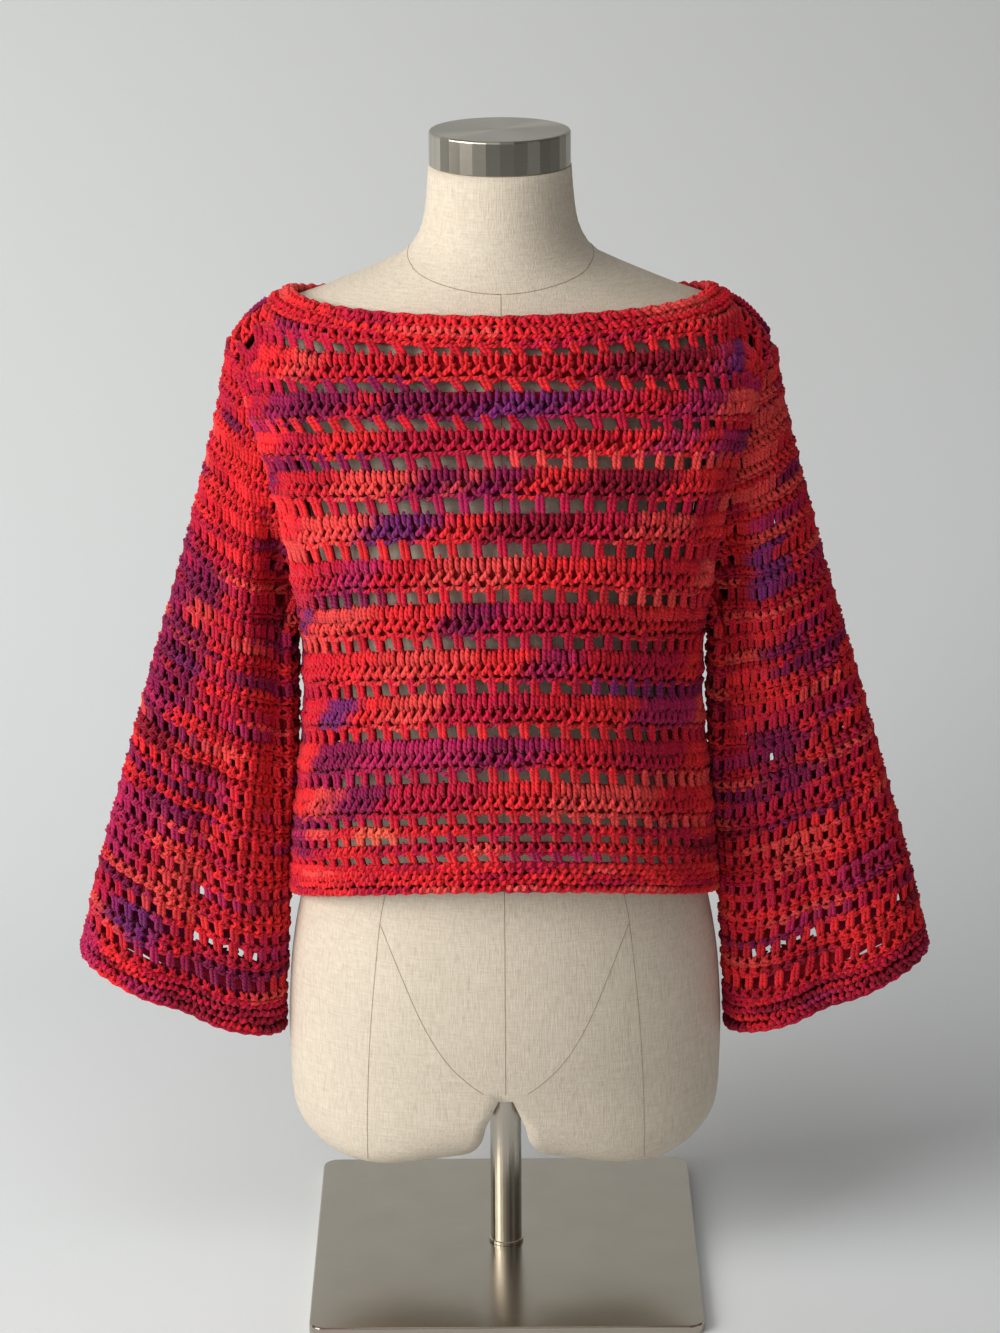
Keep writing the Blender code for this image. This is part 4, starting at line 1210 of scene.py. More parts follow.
@dataclass(frozen=True)
class PlainFinish:
    """A smooth plain surface for the studio, paler low down and clear from behind."""

    name: str
    colour: tuple
    low_colour: tuple
    low_height: float = 1.3
    roughness: float = 0.9

    def material(self) -> bpy.types.Material:
        """The surface's material."""
        paint = Paint(self.name)
        place = paint.object_place()
        height = paint.node("ShaderNodeSeparateXYZ", {}, {0: place}, "Z")
        share = (height * (1.0 / self.low_height)).maths("MINIMUM", 1.0)
        colour = paint.blend(share, (*linear(self.low_colour), 1.0), (*linear(self.colour), 1.0))
        cloudy = paint.noise(place, 0.9, 2.0)
        behind = paint.node("ShaderNodeNewGeometry", {}, {}, "Backfacing")
        paint.set(Base_Color=paint.shaded(colour, 0.97 + cloudy * 0.06), Roughness=self.roughness,
                  Alpha=1.0 - behind)
        return paint.material


class Materials:
    """The finishes of the object."""

    def __init__(self) -> None:
        """Make them all."""
        self.yarn = YarnFinish("wool_yarn").material()
        # The dark backing behind the stitches, painted shade
        self.ground = ShadeBackingFinish("wool_painted_shade").material()
        self.linen = LinenFinish("linen").material()
        self.seam = LinenFinish("linen_seam", (182, 166, 144), (158, 142, 120),
                                (140, 124, 104)).material()
        # The cap gets the painted highlight wedge
        self.cap = SteelFinish("steel_cap", (172, 166, 154), Grain.ROUND, 0.26, 0.10,
                               painted_highlight_wedge=0.45).material()
        self.pole = SteelFinish("steel_pole", (184, 177, 165), Grain.LENGTHWISE, 0.24,
                                0.05).material()
        self.plate = SteelFinish("steel_plate", (176, 168, 156), Grain.ALONG_X, 0.20, 0.20,
                                 anisotropy=0.2).material()


class Piece:
    """Helpers that every piece of the object shares."""

    # The ground's outer and inner face, in metres out of the cloth's middle
    FACES = (-0.0008, -0.0018)

    @staticmethod
    def settle(item: bpy.types.Object, material: bpy.types.Material, slot: str,
               nodes: tuple = ()) -> bpy.types.Object:
        """Dress a piece, tie it to the body and hide the solids that it stands for.

        Args:
            item: the piece.
            material: its finish.
            slot: not used.
            nodes: the solids that it stands for.

        Returns:
            The piece.
        """
        item.data.materials.clear()
        item.data.materials.append(material)
        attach(item, ROOT)
        if nodes:
            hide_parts(*nodes)
        LOG.info("%s: %d faces", item.name, len(item.data.polygons))
        return item

    @staticmethod
    def ground(name: str, surface: ClothSurface, lines: list, open_cells: set,
               colours: list) -> bpy.types.Object:
        """A thin dark sheet behind the stitches, with its eyelets open; its darkness is painted
        shade for the gaps between them.

        Args:
            name: the piece's name.
            surface: the cloth's surface.
            lines: the grid's lines, each with places across or round and one place up.
            open_cells: the cells left open, as row and column.
            colours: a linear colour for each line's places.

        Returns:
            The ground as a closed thin wall.
        """
        work = bmesh.new()
        dye = work.verts.layers.float_color.new("dye")
        layers = []
        reach = []
        for out in Piece.FACES:
            layer = []
            for (around, up), tints in zip(lines, colours):
                points, _ = surface.place(around, up, np.full_like(around, out))
                ring = []
                for point, tint in zip(points, tints):
                    vertex = work.verts.new(point)
                    vertex[dye] = (*tint, 1.0)
                    ring.append(vertex)
                layer.append(ring)
            layers.append(layer)
        for around, up in lines:
            reach.append(surface.inside(around, up))
        outer, inner = layers
        columns = len(lines[0][0])
        cells_across = columns if surface.round_piece else columns - 1
        cells = set()
        for row in range(len(lines) - 1):
            for column in range(cells_across):
                following = (column + 1) % columns
                corners = (reach[row][column], reach[row][following],
                           reach[row + 1][column], reach[row + 1][following])
                if any(corners) and (row, column) not in open_cells:
                    cells.add((row, column))
        for row, column in sorted(cells):
            following = (column + 1) % columns
            ring = ((row, column), (row, following), (row + 1, following), (row + 1, column))
            work.faces.new([outer[r][c] for r, c in ring])
            work.faces.new([inner[r][c] for r, c in reversed(ring)])
            beside = ((row - 1, column), (row, (column + 1) if not surface.round_piece
                                          else following), (row + 1, column),
                      (row, (column - 1) % columns if surface.round_piece else column - 1))
            for index, neighbour in enumerate(beside):
                if neighbour in cells:
                    continue
                start, end = ring[index], ring[(index + 1) % 4]
                work.faces.new((outer[end[0]][end[1]], outer[start[0]][start[1]],
                                inner[start[0]][start[1]], inner[end[0]][end[1]]))
        loose = [vertex for vertex in work.verts if not vertex.link_faces]
        bmesh.ops.delete(work, geom=loose, context="VERTS")
        bmesh.ops.remove_doubles(work, verts=work.verts, dist=0.00001)
        bmesh.ops.recalc_face_normals(work, faces=work.faces)
        return smooth_item(name, work)


@dataclass
class BodyPanel:
    """The front or the back: eyelet rows, solid bands and their ground."""

    name: str
    side: float
    sides: int
    seed: int
    creases: tuple
    charts: tuple
    flat: tuple
    area: float
    most_eyelets: int = 31
    span: float = 0.96
    open_share: float = 0.62
    half_heights: tuple = (0.0025, 0.0031, 0.0037, 0.0044, 0.0050, 0.0054,
                           0.0052, 0.0050, 0.0048, 0.0048, 0.0048, 0.0038, 0.0036, 0.0036)
    slants: tuple = (0.26, 0.32, 0.30, 0.16, 0.10, 0.08,
                     0.06, 0.08, 0.10, 0.12, 0.12, 0.14, 0.10, 0.24)
    row_levels: tuple = (0.7490, 0.7261, 0.7006, 0.6754, 0.6455, 0.6145,
                         0.5811, 0.5462, 0.5121, 0.4779, 0.4430)
    row_eyelets: tuple = (27, 27, 27, 27, 27, 26, 27, 28, 29, 30, 31)
    close_levels: tuple = (0.4093, 0.3944, 0.3785)
    yarn_radius: float = 0.00185

    def rows(self) -> list:
        """The panel's rows, from the neck edging down to the hem edging."""
        rows = []
        top = Garment.NECK_LEVEL
        levels = (*self.row_levels, *self.close_levels)
        counts = (*self.row_eyelets, *(self.most_eyelets for _ in self.close_levels))
        for level, count, half, slant in zip(levels, counts, self.half_heights, self.slants):
            low = level + half
            if top - low > 0.003:
                kind = RowKind.SOLID if top - low > 0.012 else RowKind.KNOTS
                rows.append(Row(kind, low, top, 2 * count + 2, -1.0, 1.0, 0.0))
            rows.append(Row(RowKind.EYELETS, level - half, level + half, count, -self.span,
                            self.span, slant * 2.0 * self.span / count))
            top = level - half
        rows.append(Row(RowKind.KNOTS, Garment.HEM_BAND_LEVEL, top, 2 * self.most_eyelets + 2,
                        -1.0, 1.0, 0.0))
        return rows

    def across_line(self, count: int, shift: float) -> np.ndarray:
        """The ground's places across: an opening and a bar for each eyelet."""
        pitch = 2.0 * self.span / count
        opening = pitch * self.open_share
        starts = -self.span + pitch * (np.arange(count) + 0.5) - opening / 2.0 + shift
        edges = np.sort(np.concatenate([starts, starts + opening]))
        spare = self.most_eyelets - count
        left = np.linspace(-1.0, edges[0], spare + 2)[:-1]
        right = np.linspace(edges[-1], 1.0, spare + 2)[1:]
        return np.concatenate([left, edges, right])

    def ground_lines(self, worked: list) -> tuple:
        """The ground's grid lines, their colours and the cells left open."""
        lines = []
        colours = []
        open_cells = set()

        def lay(count: int, shift: float, level: float, places: np.ndarray,
                tints: np.ndarray) -> None:
            across = self.across_line(count, shift)
            lines.append((across, np.full_like(across, level)))
            colours.append(spread(across, places, tints))

        first = next(row for row, _, _ in worked if row.kind is RowKind.EYELETS)
        for row, places, tints in worked:
            if row.kind is RowKind.EYELETS:
                spare = self.most_eyelets - row.count
                cell = len(lines)
                lay(row.count, -row.slant / 2.0, row.high + 0.0008, places, tints)
                lay(row.count, row.slant / 2.0, row.low - 0.0008, places, tints)
                open_cells |= {(cell, spare + 1 + 2 * index) for index in range(row.count)}
            elif not lines:
                lay(first.count, 0.0, Garment.NECK_LEVEL, places, tints)
            elif row.kind is RowKind.SOLID:
                lay((row.count - 2) // 2, 0.0, (row.low + row.high) / 2.0, places, tints)
        row, places, tints = worked[-1]
        lay(self.most_eyelets, 0.0, Garment.HEM_BAND_LEVEL, places, tints)
        return lines, colours, open_cells

    def make(self, materials: Materials) -> None:
        """Build and dress the panel."""
        surface = BodySurface(self.side, self.creases)
        crochet = Crochet(surface, self.yarn_radius, self.sides, self.seed, self.charts)
        worked = [(row, *crochet.row(row)) for row in self.rows()]
        stitches = crochet.build(self.name + "_stitches")
        lines, colours, open_cells = self.ground_lines(worked)
        ground = Piece.ground(self.name + "_painted_shade_backing", surface, lines, open_cells, colours)
        Piece.settle(stitches, materials.yarn, "yarn")
        Piece.settle(ground, materials.ground, "yarn", (self.name,))


@dataclass
class RoundEdging:
    """A dense edging round the neck, the hem or a cuff."""

    name: str
    surface: ClothSurface
    kind: RowKind
    low: float
    high: float
    stitch_rows: int
    stitches: int
    seed: int
    flat: tuple
    radius: float
    weights: tuple = EDGE_WEIGHTS
    charts: tuple = ()
    sway: float = 0.15
    held: str = "stretched"
    rests_on: tuple = ("dress_form",)

    def make(self, materials: Materials) -> None:
        """Build and dress the edging."""
        crochet = Crochet(self.surface, self.radius, 5, self.seed, self.charts,
                          weights=self.weights, sway=self.sway)
        height = (self.high - self.low) / self.stitch_rows
        for index in range(self.stitch_rows):
            low = self.low + height * index
            shift = 0.5 * (index % 2) / self.stitches
            places, tints = crochet.row(Row(self.kind, low, low + height, self.stitches,
                                            shift, 1.0 + shift, 0.0))
        around = np.linspace(0.0, 1.0, self.stitches * 2 + 1)
        rim = np.repeat(tints, 2, axis=0)
        rim = np.concatenate([rim, rim[:1]])
        for up in (self.low, self.high):
            crochet.cord(around, np.full_like(around, up), 0.4, rim, self.radius * 1.05, 0.75)
        stitches = crochet.build(self.name + "_stitches")
        around = np.linspace(0.0, 1.0, 97)[:-1]
        lines = [(around, np.full_like(around, up)) for up in (self.high, self.low)]
        colours = [spread(around, places, tints) for _ in lines]
        ground = Piece.ground(self.name + "_painted_shade_backing", self.surface, lines, set(), colours)
        Piece.settle(stitches, materials.yarn, "edging")
        Piece.settle(ground, materials.ground, "edging", (self.name,))


@dataclass
class Sleeve:
    """A bell sleeve with its cuff edging."""

    side_name: str
    sign: float
    top_angle: float
    seed: int
    creases: tuple
    charts: tuple
    eyelets: int = 32
    radius: float = 0.00172
    half_height: float = 0.0042
    open_share: float = 0.54
    back_open_share: float = 0.06
    low_open: tuple = (0.60, 0.735)
    cuff_height: float = 0.0165
    eyelet_places: tuple = (0.028, 0.051, 0.064, 0.090, 0.103, 0.129, 0.142, 0.168, 0.181,
                            0.207, 0.232, 0.245, 0.271, 0.296, 0.309, 0.335, 0.360, 0.385,
                            0.410, 0.435, 0.460, 0.485)
    top: float = 0.605
    top_rows: int = 9
    band_knots: int = 42
    top_knots: int = 48
    tall_band: float = 0.0105
    slant: float = 0.22
    ground_overlap: float = 0.0006
    sides: int = 4
    post_radius: float = 0.0019
    post_half_width: float = 0.0017
    cuff_rows: int = 4
    cuff_stitches: int = 70
    cuff_radius: float = 0.00185
    cuff_flat: tuple = (0.39, 0.023)

    def rows(self) -> list:
        """The sleeve's rows, from the cuff edging up."""
        rows = []
        low = self.cuff_height
        slant = self.slant / self.eyelets
        for place in self.eyelet_places:
            high = place - self.half_height
            if high - low > 0.001:
                cuts = np.linspace(low, high, 3 if high - low > self.tall_band else 2)
                for start, end in zip(cuts, cuts[1:]):
                    rows.append(Row(RowKind.KNOTS, float(start), float(end), self.band_knots,
                                    0.0, 1.0, 0.0))
            rows.append(Row(RowKind.EYELETS, high, place + self.half_height, self.eyelets,
                            0.0, 1.0, slant))
            low = place + self.half_height
        steps = np.linspace(low, self.top, self.top_rows + 1)
        for low, high in zip(steps, steps[1:]):
            rows.append(Row(RowKind.KNOTS, low, high, self.top_knots, 0.0, 1.0, 0.0))
        return rows

    def around_line(self) -> np.ndarray:
        """The ground's places round: an opening and a bar for each eyelet."""
        starts = (np.arange(self.eyelets) + 0.5 - self.open_share / 2.0) / self.eyelets
        return np.sort(np.concatenate([starts, starts + self.open_share / self.eyelets]))

    def make(self, materials: Materials) -> None:
        """Build and dress the sleeve and its cuff."""
        surface = SleeveSurface(self.sign, self.top_angle, self.creases)
        name = "sleeve_" + self.side_name
        crochet = Crochet(surface, self.radius, self.sides, self.seed, self.charts,
                          self.post_radius, self.post_half_width)
        worked = [(row, *crochet.row(row)) for row in self.rows()]
        stitches = crochet.build(name + "_stitches")
        around = self.around_line()
        draws = random.Random(self.seed)
        lines = [(around, np.full_like(around, self.cuff_height))]
        colours = []
        open_cells = set()
        for row, places, tints in worked:
            if row.kind is RowKind.EYELETS:
                lines.append((around, np.full_like(around, row.low - self.ground_overlap)))
                lines.append((around, np.full_like(around, row.high + self.ground_overlap)))
                cell = len(lines) - 2
                for index in range(self.eyelets):
                    place = (index + 0.5) / self.eyelets
                    low_row = cell == 1 and self.low_open[0] < place < self.low_open[1]
                    # Most eyelets on the back half stay covered by the dark backing, which is
                    # painted shade
                    if place < 0.5 or low_row or draws.random() < self.back_open_share:
                        open_cells.add((cell, 2 * index))
                colours += [spread(around, places, tints)] * 2
        lines.append((around, np.full_like(around, self.top)))
        colours = [colours[0], *colours, colours[-1]]
        ground = Piece.ground(name + "_painted_shade_backing", surface, lines, open_cells, colours)
        Piece.settle(stitches, materials.yarn, "yarn")
        Piece.settle(ground, materials.ground, "yarn", (name,))
        RoundEdging("cuff_" + self.side_name, surface, RowKind.SEED, 0.0, self.cuff_height,
                    self.cuff_rows, self.cuff_stitches, self.seed + 50, self.cuff_flat,
                    self.cuff_radius, CUFF_WEIGHTS, self.charts, held="hung",
                    rests_on=(name,)).make(materials)


class Seams:
    """Whip stitches over the armholes, the shoulders and down the sides."""

    SPACING = 0.0038
    RADIUS = 0.0019
    REACH = 0.0030
    ARMHOLE_LENGTH = 0.25
    ARMHOLE_SEED = 61
    SHOULDER_SEED = 71
    SIDE_SEED = 81
    PANEL_ARMHOLE = 0.975
    PANEL_SIDE = 0.985
    SLEEVE_SHARE = 0.022
    TURN_STEP = 0.03
    SHOULDER_STITCHES = 12
    SIDE_STITCHES = 46

    def __init__(self) -> None:
        """Start with no stitches."""
        self.pile = YarnPile(5)
        self.panels = {side: BodySurface(side) for side in (-1.0, 1.0)}

    def bridge(self, first: tuple, middle: np.ndarray, last: tuple, seed: int) -> None:
        """Lay a slanted strand over the seam at each of its places.

        Args:
            first: points on one piece, and its outward directions.
            middle: points of the seam itself.
            last: points on the other piece, and its outward directions.
            seed: the start of the yarn's random draws.
        """
        outs = unit(first[1] + last[1])
        start = self.short_of(first[0], middle) + first[1] * self.RADIUS * 0.2
        end = self.short_of(last[0], middle) + last[1] * self.RADIUS * 0.2
        start, end = start[:-2], end[2:]
        middle, outs = middle[1:-1], outs[1:-1]
        crest = middle + outs * self.RADIUS * 1.1
        paths = np.stack([start, mix(start, crest, 0.6) + outs * self.RADIUS * 0.3, crest,
                          mix(end, crest, 0.6) + outs * self.RADIUS * 0.3, end], axis=1)
        directions = np.repeat(outs[:, None, :], 5, axis=1)
        yarn = DyedYarn(seed, POST_WEIGHTS)
        colours = yarn.row(np.arange(len(middle)), 0.0)
        self.pile.add(paths, directions, self.RADIUS, colours)

    def short_of(self, points: np.ndarray, middle: np.ndarray) -> np.ndarray:
        """Points brought to within a short reach of the seam."""
        away = points - middle
        length = np.linalg.norm(away, axis=1, keepdims=True)
        return middle + away * np.minimum(1.0, self.REACH / np.maximum(length, 1e-6))

    def armhole(self, sign: float, side: float) -> None:
        """Work one half of an armhole."""
        count = int(self.ARMHOLE_LENGTH / self.SPACING)
        levels = np.linspace(Garment.UNDERARM_LEVEL + 0.004, Garment.NECK_LEVEL - 0.001, count)
        height = read_table(BODY_LINES, "front_z", "edge_z", levels)
        share = np.clip((height - Garment.UNDERARM_Z)
                        / (Garment.SHOULDER_Z - Garment.UNDERARM_Z), 0.0, 1.0)
        turn = np.arccos(np.clip(2.0 * share ** Garment.ARMHOLE_BOW - 1.0, -1.0, 1.0))
        turn = turn if side < 0 else 2.0 * math.pi - turn
        panel = self.panels[side].place(np.full_like(levels, sign * self.PANEL_ARMHOLE), levels,
                                        np.zeros_like(levels))
        down = np.full_like(turn, self.SLEEVE_SHARE)
        sleeve = Garment.sleeve(turn, down, sign)
        run = (Garment.sleeve(turn + self.TURN_STEP, down, sign)
               - Garment.sleeve(turn - self.TURN_STEP, down, sign))
        climb = Garment.sleeve(turn, down * 0.2, sign) - Garment.sleeve(turn, down * 2.0, sign)
        normal = unit(np.cross(run, climb)) * -sign
        middle = Garment.armhole(height, side, np.full_like(height, sign))
        self.bridge(panel, middle, (sleeve, normal), self.ARMHOLE_SEED + int(sign + 2 * side))

    def shoulder(self, sign: float) -> None:
        """Work a shoulder seam."""
        across = sign * np.linspace(Garment.NECK_CORNER, 0.995, self.SHOULDER_STITCHES)
        level = np.full_like(across, Garment.NECK_LEVEL - 0.004)
        front = self.panels[-1.0].place(across, level, np.zeros_like(across))
        back = self.panels[1.0].place(across, level, np.zeros_like(across))
        self.bridge(front, Garment.top_line(across, -1.0), back,
                    self.SHOULDER_SEED + int(sign))

    def side_seam(self, sign: float) -> None:
        """Work a side seam, from the underarm to the hem."""
        levels = np.linspace(Garment.HEM_LEVEL + 0.002, Garment.UNDERARM_LEVEL - 0.004,
                             self.SIDE_STITCHES)
        across = np.full_like(levels, sign * self.PANEL_SIDE)
        front = self.panels[-1.0].place(across, levels, np.zeros_like(levels))
        back = self.panels[1.0].place(across, levels + 0.002, np.zeros_like(levels))
        self.bridge(front, (front[0] + back[0]) / 2.0, back, self.SIDE_SEED + int(sign))

    def make(self, materials: Materials) -> None:
        """Work and dress all the seams."""
        for sign in (-1.0, 1.0):
            for side in (-1.0, 1.0):
                self.armhole(sign, side)
            self.shoulder(sign)
            self.side_seam(sign)
        Piece.settle(self.pile.build("seam_stitches"), materials.yarn, "yarn")


# Seams of the form's cover: points across and up, on which sides, and whether on both halves
FormSeam = namedtuple("FormSeam", "points sides mirrored")
FORM_SEAMS = (
    FormSeam(((0.0, 0.7850), (0.0, 0.7700), (0.0, 0.6600), (0.0, 0.5500), (0.0, 0.4300),
              (0.0, 0.3400), (0.0, 0.2587), (0.0, 0.1760)), (-1.0, 1.0), False),
    FormSeam(((0.0860, 0.3450), (0.0915, 0.3200), (0.0937, 0.3070), (0.0990, 0.2560),
              (0.1015, 0.2270), (0.1040, 0.1900), (0.1055, 0.1500), (0.1058, 0.1120)),
             (-1.0,), True),
    FormSeam(((0.0930, 0.3072), (0.0779, 0.2701), (0.0621, 0.2310), (0.0440, 0.2003),
              (0.0259, 0.1830), (0.0169, 0.1765)), (-1.0,), True),
    FormSeam(((0.0860, 0.3450), (0.0930, 0.3000), (0.1000, 0.2200), (0.1030, 0.1500),
              (0.1040, 0.1150)), (1.0,), True),
)


@dataclass
class DressForm:
    """The linen-covered form, with its sewn seams."""

    around: int = 96
    neck_to_split: int = 84
    split_steps: int = 18
    thigh_steps: int = 14
    seam_radius: float = 0.0004
    SEAM_POINTS = 97
    SEAM_COLOUR = (120, 104, 86)
    NECK_LINE_FRONT = 0.7850
    NECK_LINE_SIDE = 0.8060
    NECK_LINE_BACK = 0.7960

    def ring(self, work: bmesh.types.BMesh, height: float) -> list:
        """Points round the form at one height."""
        sizes = {column: float(read_table(FORM_RINGS, "height", column, np.array(height)))
                 for column in ("half_width", "front", "back")}
        points = []
        for index in range(self.around):
            angle = 2.0 * math.pi * (index + 0.5) / self.around
            depth = sizes["front"] if math.cos(angle) > 0.0 else sizes["back"]
            points.append(work.verts.new((sizes["half_width"] * math.sin(angle),
                                          -depth * math.cos(angle), height)))
        return points

    def thigh_ring(self, work: bmesh.types.BMesh, start: list, height: float,
                   sign: float) -> list:
        """The outline at the split, narrowed and rounded for a lower height."""
        sizes = {column: float(read_table(THIGH_RINGS, "height", column, np.array(height)))
                 for column in ("inner", "outer", "depth_share", "roundness")}
        top = FORM_RINGS[-1]
        top_inner = min(abs(point.x) for point in start)
        top_middle = (top_inner + top.half_width) / 2.0
        centre_y = (top.back - top.front) / 2.0
        half_depth = (top.back + top.front) / 2.0
        half_width = (sizes["outer"] - sizes["inner"]) / 2.0
        middle = (sizes["outer"] + sizes["inner"]) / 2.0
        points = []
        for point in start:
            across = (abs(point.x) - top_middle) / (top.half_width - top_middle)
            along = (point.y - centre_y) / half_depth
            length = math.hypot(across, along)
            across = mix(across, across / length, sizes["roundness"])
            along = mix(along, along / length, sizes["roundness"])
            points.append(work.verts.new((sign * (middle + half_width * across),
                                          centre_y + half_depth * sizes["depth_share"] * along,
                                          height)))
        return points

    def body(self) -> bpy.types.Object:
        """The form's smooth body."""
        work = bmesh.new()
        heights = np.linspace(FORM_RINGS[0].height, FORM_RINGS[-1].height, self.neck_to_split)
        rings = [self.ring(work, float(height)) for height in heights]
        for upper, lower in zip(rings, rings[1:]):
            for index in range(self.around):
                following = (index + 1) % self.around
                work.faces.new((upper[index], lower[index], lower[following], upper[following]))
        work.faces.new(rings[0])
        last = rings[-1]
        half = self.around // 2
        strips = {}
        for sign, front, back in ((1.0, last[0], last[half - 1]), (-1.0, last[-1], last[half])):
            inner = [work.verts.new(front.co.lerp(back.co, step / self.split_steps))
                     for step in range(1, self.split_steps)]
            strips[sign] = [front, *inner, back]
        for step in range(self.split_steps):
            work.faces.new((strips[1.0][step], strips[1.0][step + 1],
                            strips[-1.0][step + 1], strips[-1.0][step]))
        outlines = {1.0: last[:half] + strips[1.0][-2:0:-1],
                    -1.0: last[:half - 1:-1] + strips[-1.0][-2:0:-1]}
        foot = THIGH_RINGS[-1].height
        for sign, outline in outlines.items():
            start = [vertex.co.copy() for vertex in outline]
            upper = outline
            for step in range(1, self.thigh_steps + 1):
                share = math.sin(step / self.thigh_steps * math.pi / 2.0)
                height = mix(THIGH_RINGS[0].height + 0.006, foot, share)
                lower = self.thigh_ring(work, start, height, sign)
                for index in range(len(lower)):
                    following = (index + 1) % len(lower)
                    work.faces.new((upper[index], upper[following],
                                    lower[following], lower[index]))
                upper = lower
            work.faces.new(upper)
        bmesh.ops.recalc_face_normals(work, faces=work.faces)
        return smooth_item("form_body", work)

    def sewn_lines(self, body: bpy.types.Object) -> bpy.types.Object:
        """The seams of the linen cover, laid on the form's surface."""
        mesh = bmesh.new()
        mesh.from_mesh(body.data)
        tree = BVHTree.FromBMesh(mesh)
        mesh.free()
        pile = YarnPile(6)
        for line in FORM_SEAMS:
            for side in line.sides:
                for sign in ((1.0, -1.0) if line.mirrored else (1.0,)):
                    self.lay_line(pile, tree, line.points, side, sign)
        self.lay_neck_line(pile, tree)
        return pile.build("form_seams")

    def lay_line(self, pile: YarnPile, tree: BVHTree, points: tuple, side: float,
                 sign: float) -> None:
        """Lay one seam on the front (side -1) or the back (side 1)."""
        marks = np.array(points)
        for _ in range(3):
            cuts = np.stack([mix(marks[:-1], marks[1:], 0.25), mix(marks[:-1], marks[1:], 0.75)],
                            axis=1).reshape(-1, 2)
            marks = np.concatenate([marks[:1], cuts, marks[-1:]])
        shares = np.linspace(0.0, len(marks) - 1.0, self.SEAM_POINTS)
        order = np.arange(len(marks))
        hits, outs = [], []
        for x, z in zip(np.interp(shares, order, marks[:, 0]),
                        np.interp(shares, order, marks[:, 1])):
            hit, normal, _, _ = tree.ray_cast(Vector((sign * x, side, z)),
                                              Vector((0.0, -side, 0.0)))
            if hit is not None:
                hits.append(hit)
                outs.append(normal)
        self.cover(pile, np.array(hits), np.array(outs))

    def lay_neck_line(self, pile: YarnPile, tree: BVHTree) -> None:
        """Lay the seam round the foot of the neck."""
        hits, outs = [], []
        for angle in np.linspace(0.0, 2.0 * math.pi, self.SEAM_POINTS):
            at_side = 1.0 - abs(math.cos(angle)) ** 1.4
            middle = self.NECK_LINE_FRONT if math.cos(angle) > 0.0 else self.NECK_LINE_BACK
            height = mix(middle, self.NECK_LINE_SIDE, at_side)
            hit, normal, _, _ = tree.ray_cast(
                Vector((math.sin(angle), -math.cos(angle), height)),
                Vector((-math.sin(angle), math.cos(angle), 0.0)))
            hits.append(hit)
            outs.append(normal)
        self.cover(pile, np.array(hits), np.array(outs))

    def cover(self, pile: YarnPile, points: np.ndarray, outs: np.ndarray) -> None:
        """Lay a thin cord along points of the form."""
        dark = np.tile(linear(self.SEAM_COLOUR), (len(points), 1))
        pile.add((points - outs * self.seam_radius * 0.35)[None], outs[None], self.seam_radius,
                 dark[None], taper=0.9)

    def make(self, materials: Materials) -> None:
        """Build and dress the form."""
        body = self.body()
        lines = self.sewn_lines(body)
        Piece.settle(body, materials.linen, "linen", ("dress_form",))
        Piece.settle(lines, materials.seam, "linen")


class Stand:
    """The neck cap, pole and base plate, which keep the solids' shapes."""

    FINISHES = {"neck_cap": "cap", "pole": "pole", "base_plate": "plate"}

    def make(self, materials: Materials) -> None:
        """Dress the metal solids."""
        for node, finish in self.FINISHES.items():
            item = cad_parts[node]
            item.data.materials.clear()
            item.data.materials.append(getattr(materials, finish))
            LOG.info("%s dressed", node)


Lamp = namedtuple("Lamp", "name place aim size power colour")
LAMPS = (
    Lamp("window", (-2.15, -1.36, 1.48), (0.0, 0.0, 0.5), (1.9, 1.8), 74.0, (1.0, 0.98, 0.95)),
    Lamp("room", (-0.7, -3.3, 1.9), (0.0, 0.0, 0.5), (2.4, 1.6), 9.0, (1.0, 1.0, 1.0)),
    Lamp("strip", (1.95, -1.35, 1.1), (0.0, 0.0, 0.6), (0.16, 1.8), 0.6, (1.0, 1.0, 1.0)),
    Lamp("sky", (-0.3, -1.2, 2.9), (0.0, 0.0, 0.2), (2.0, 1.4), 12.0, (1.0, 1.0, 1.0)),
)


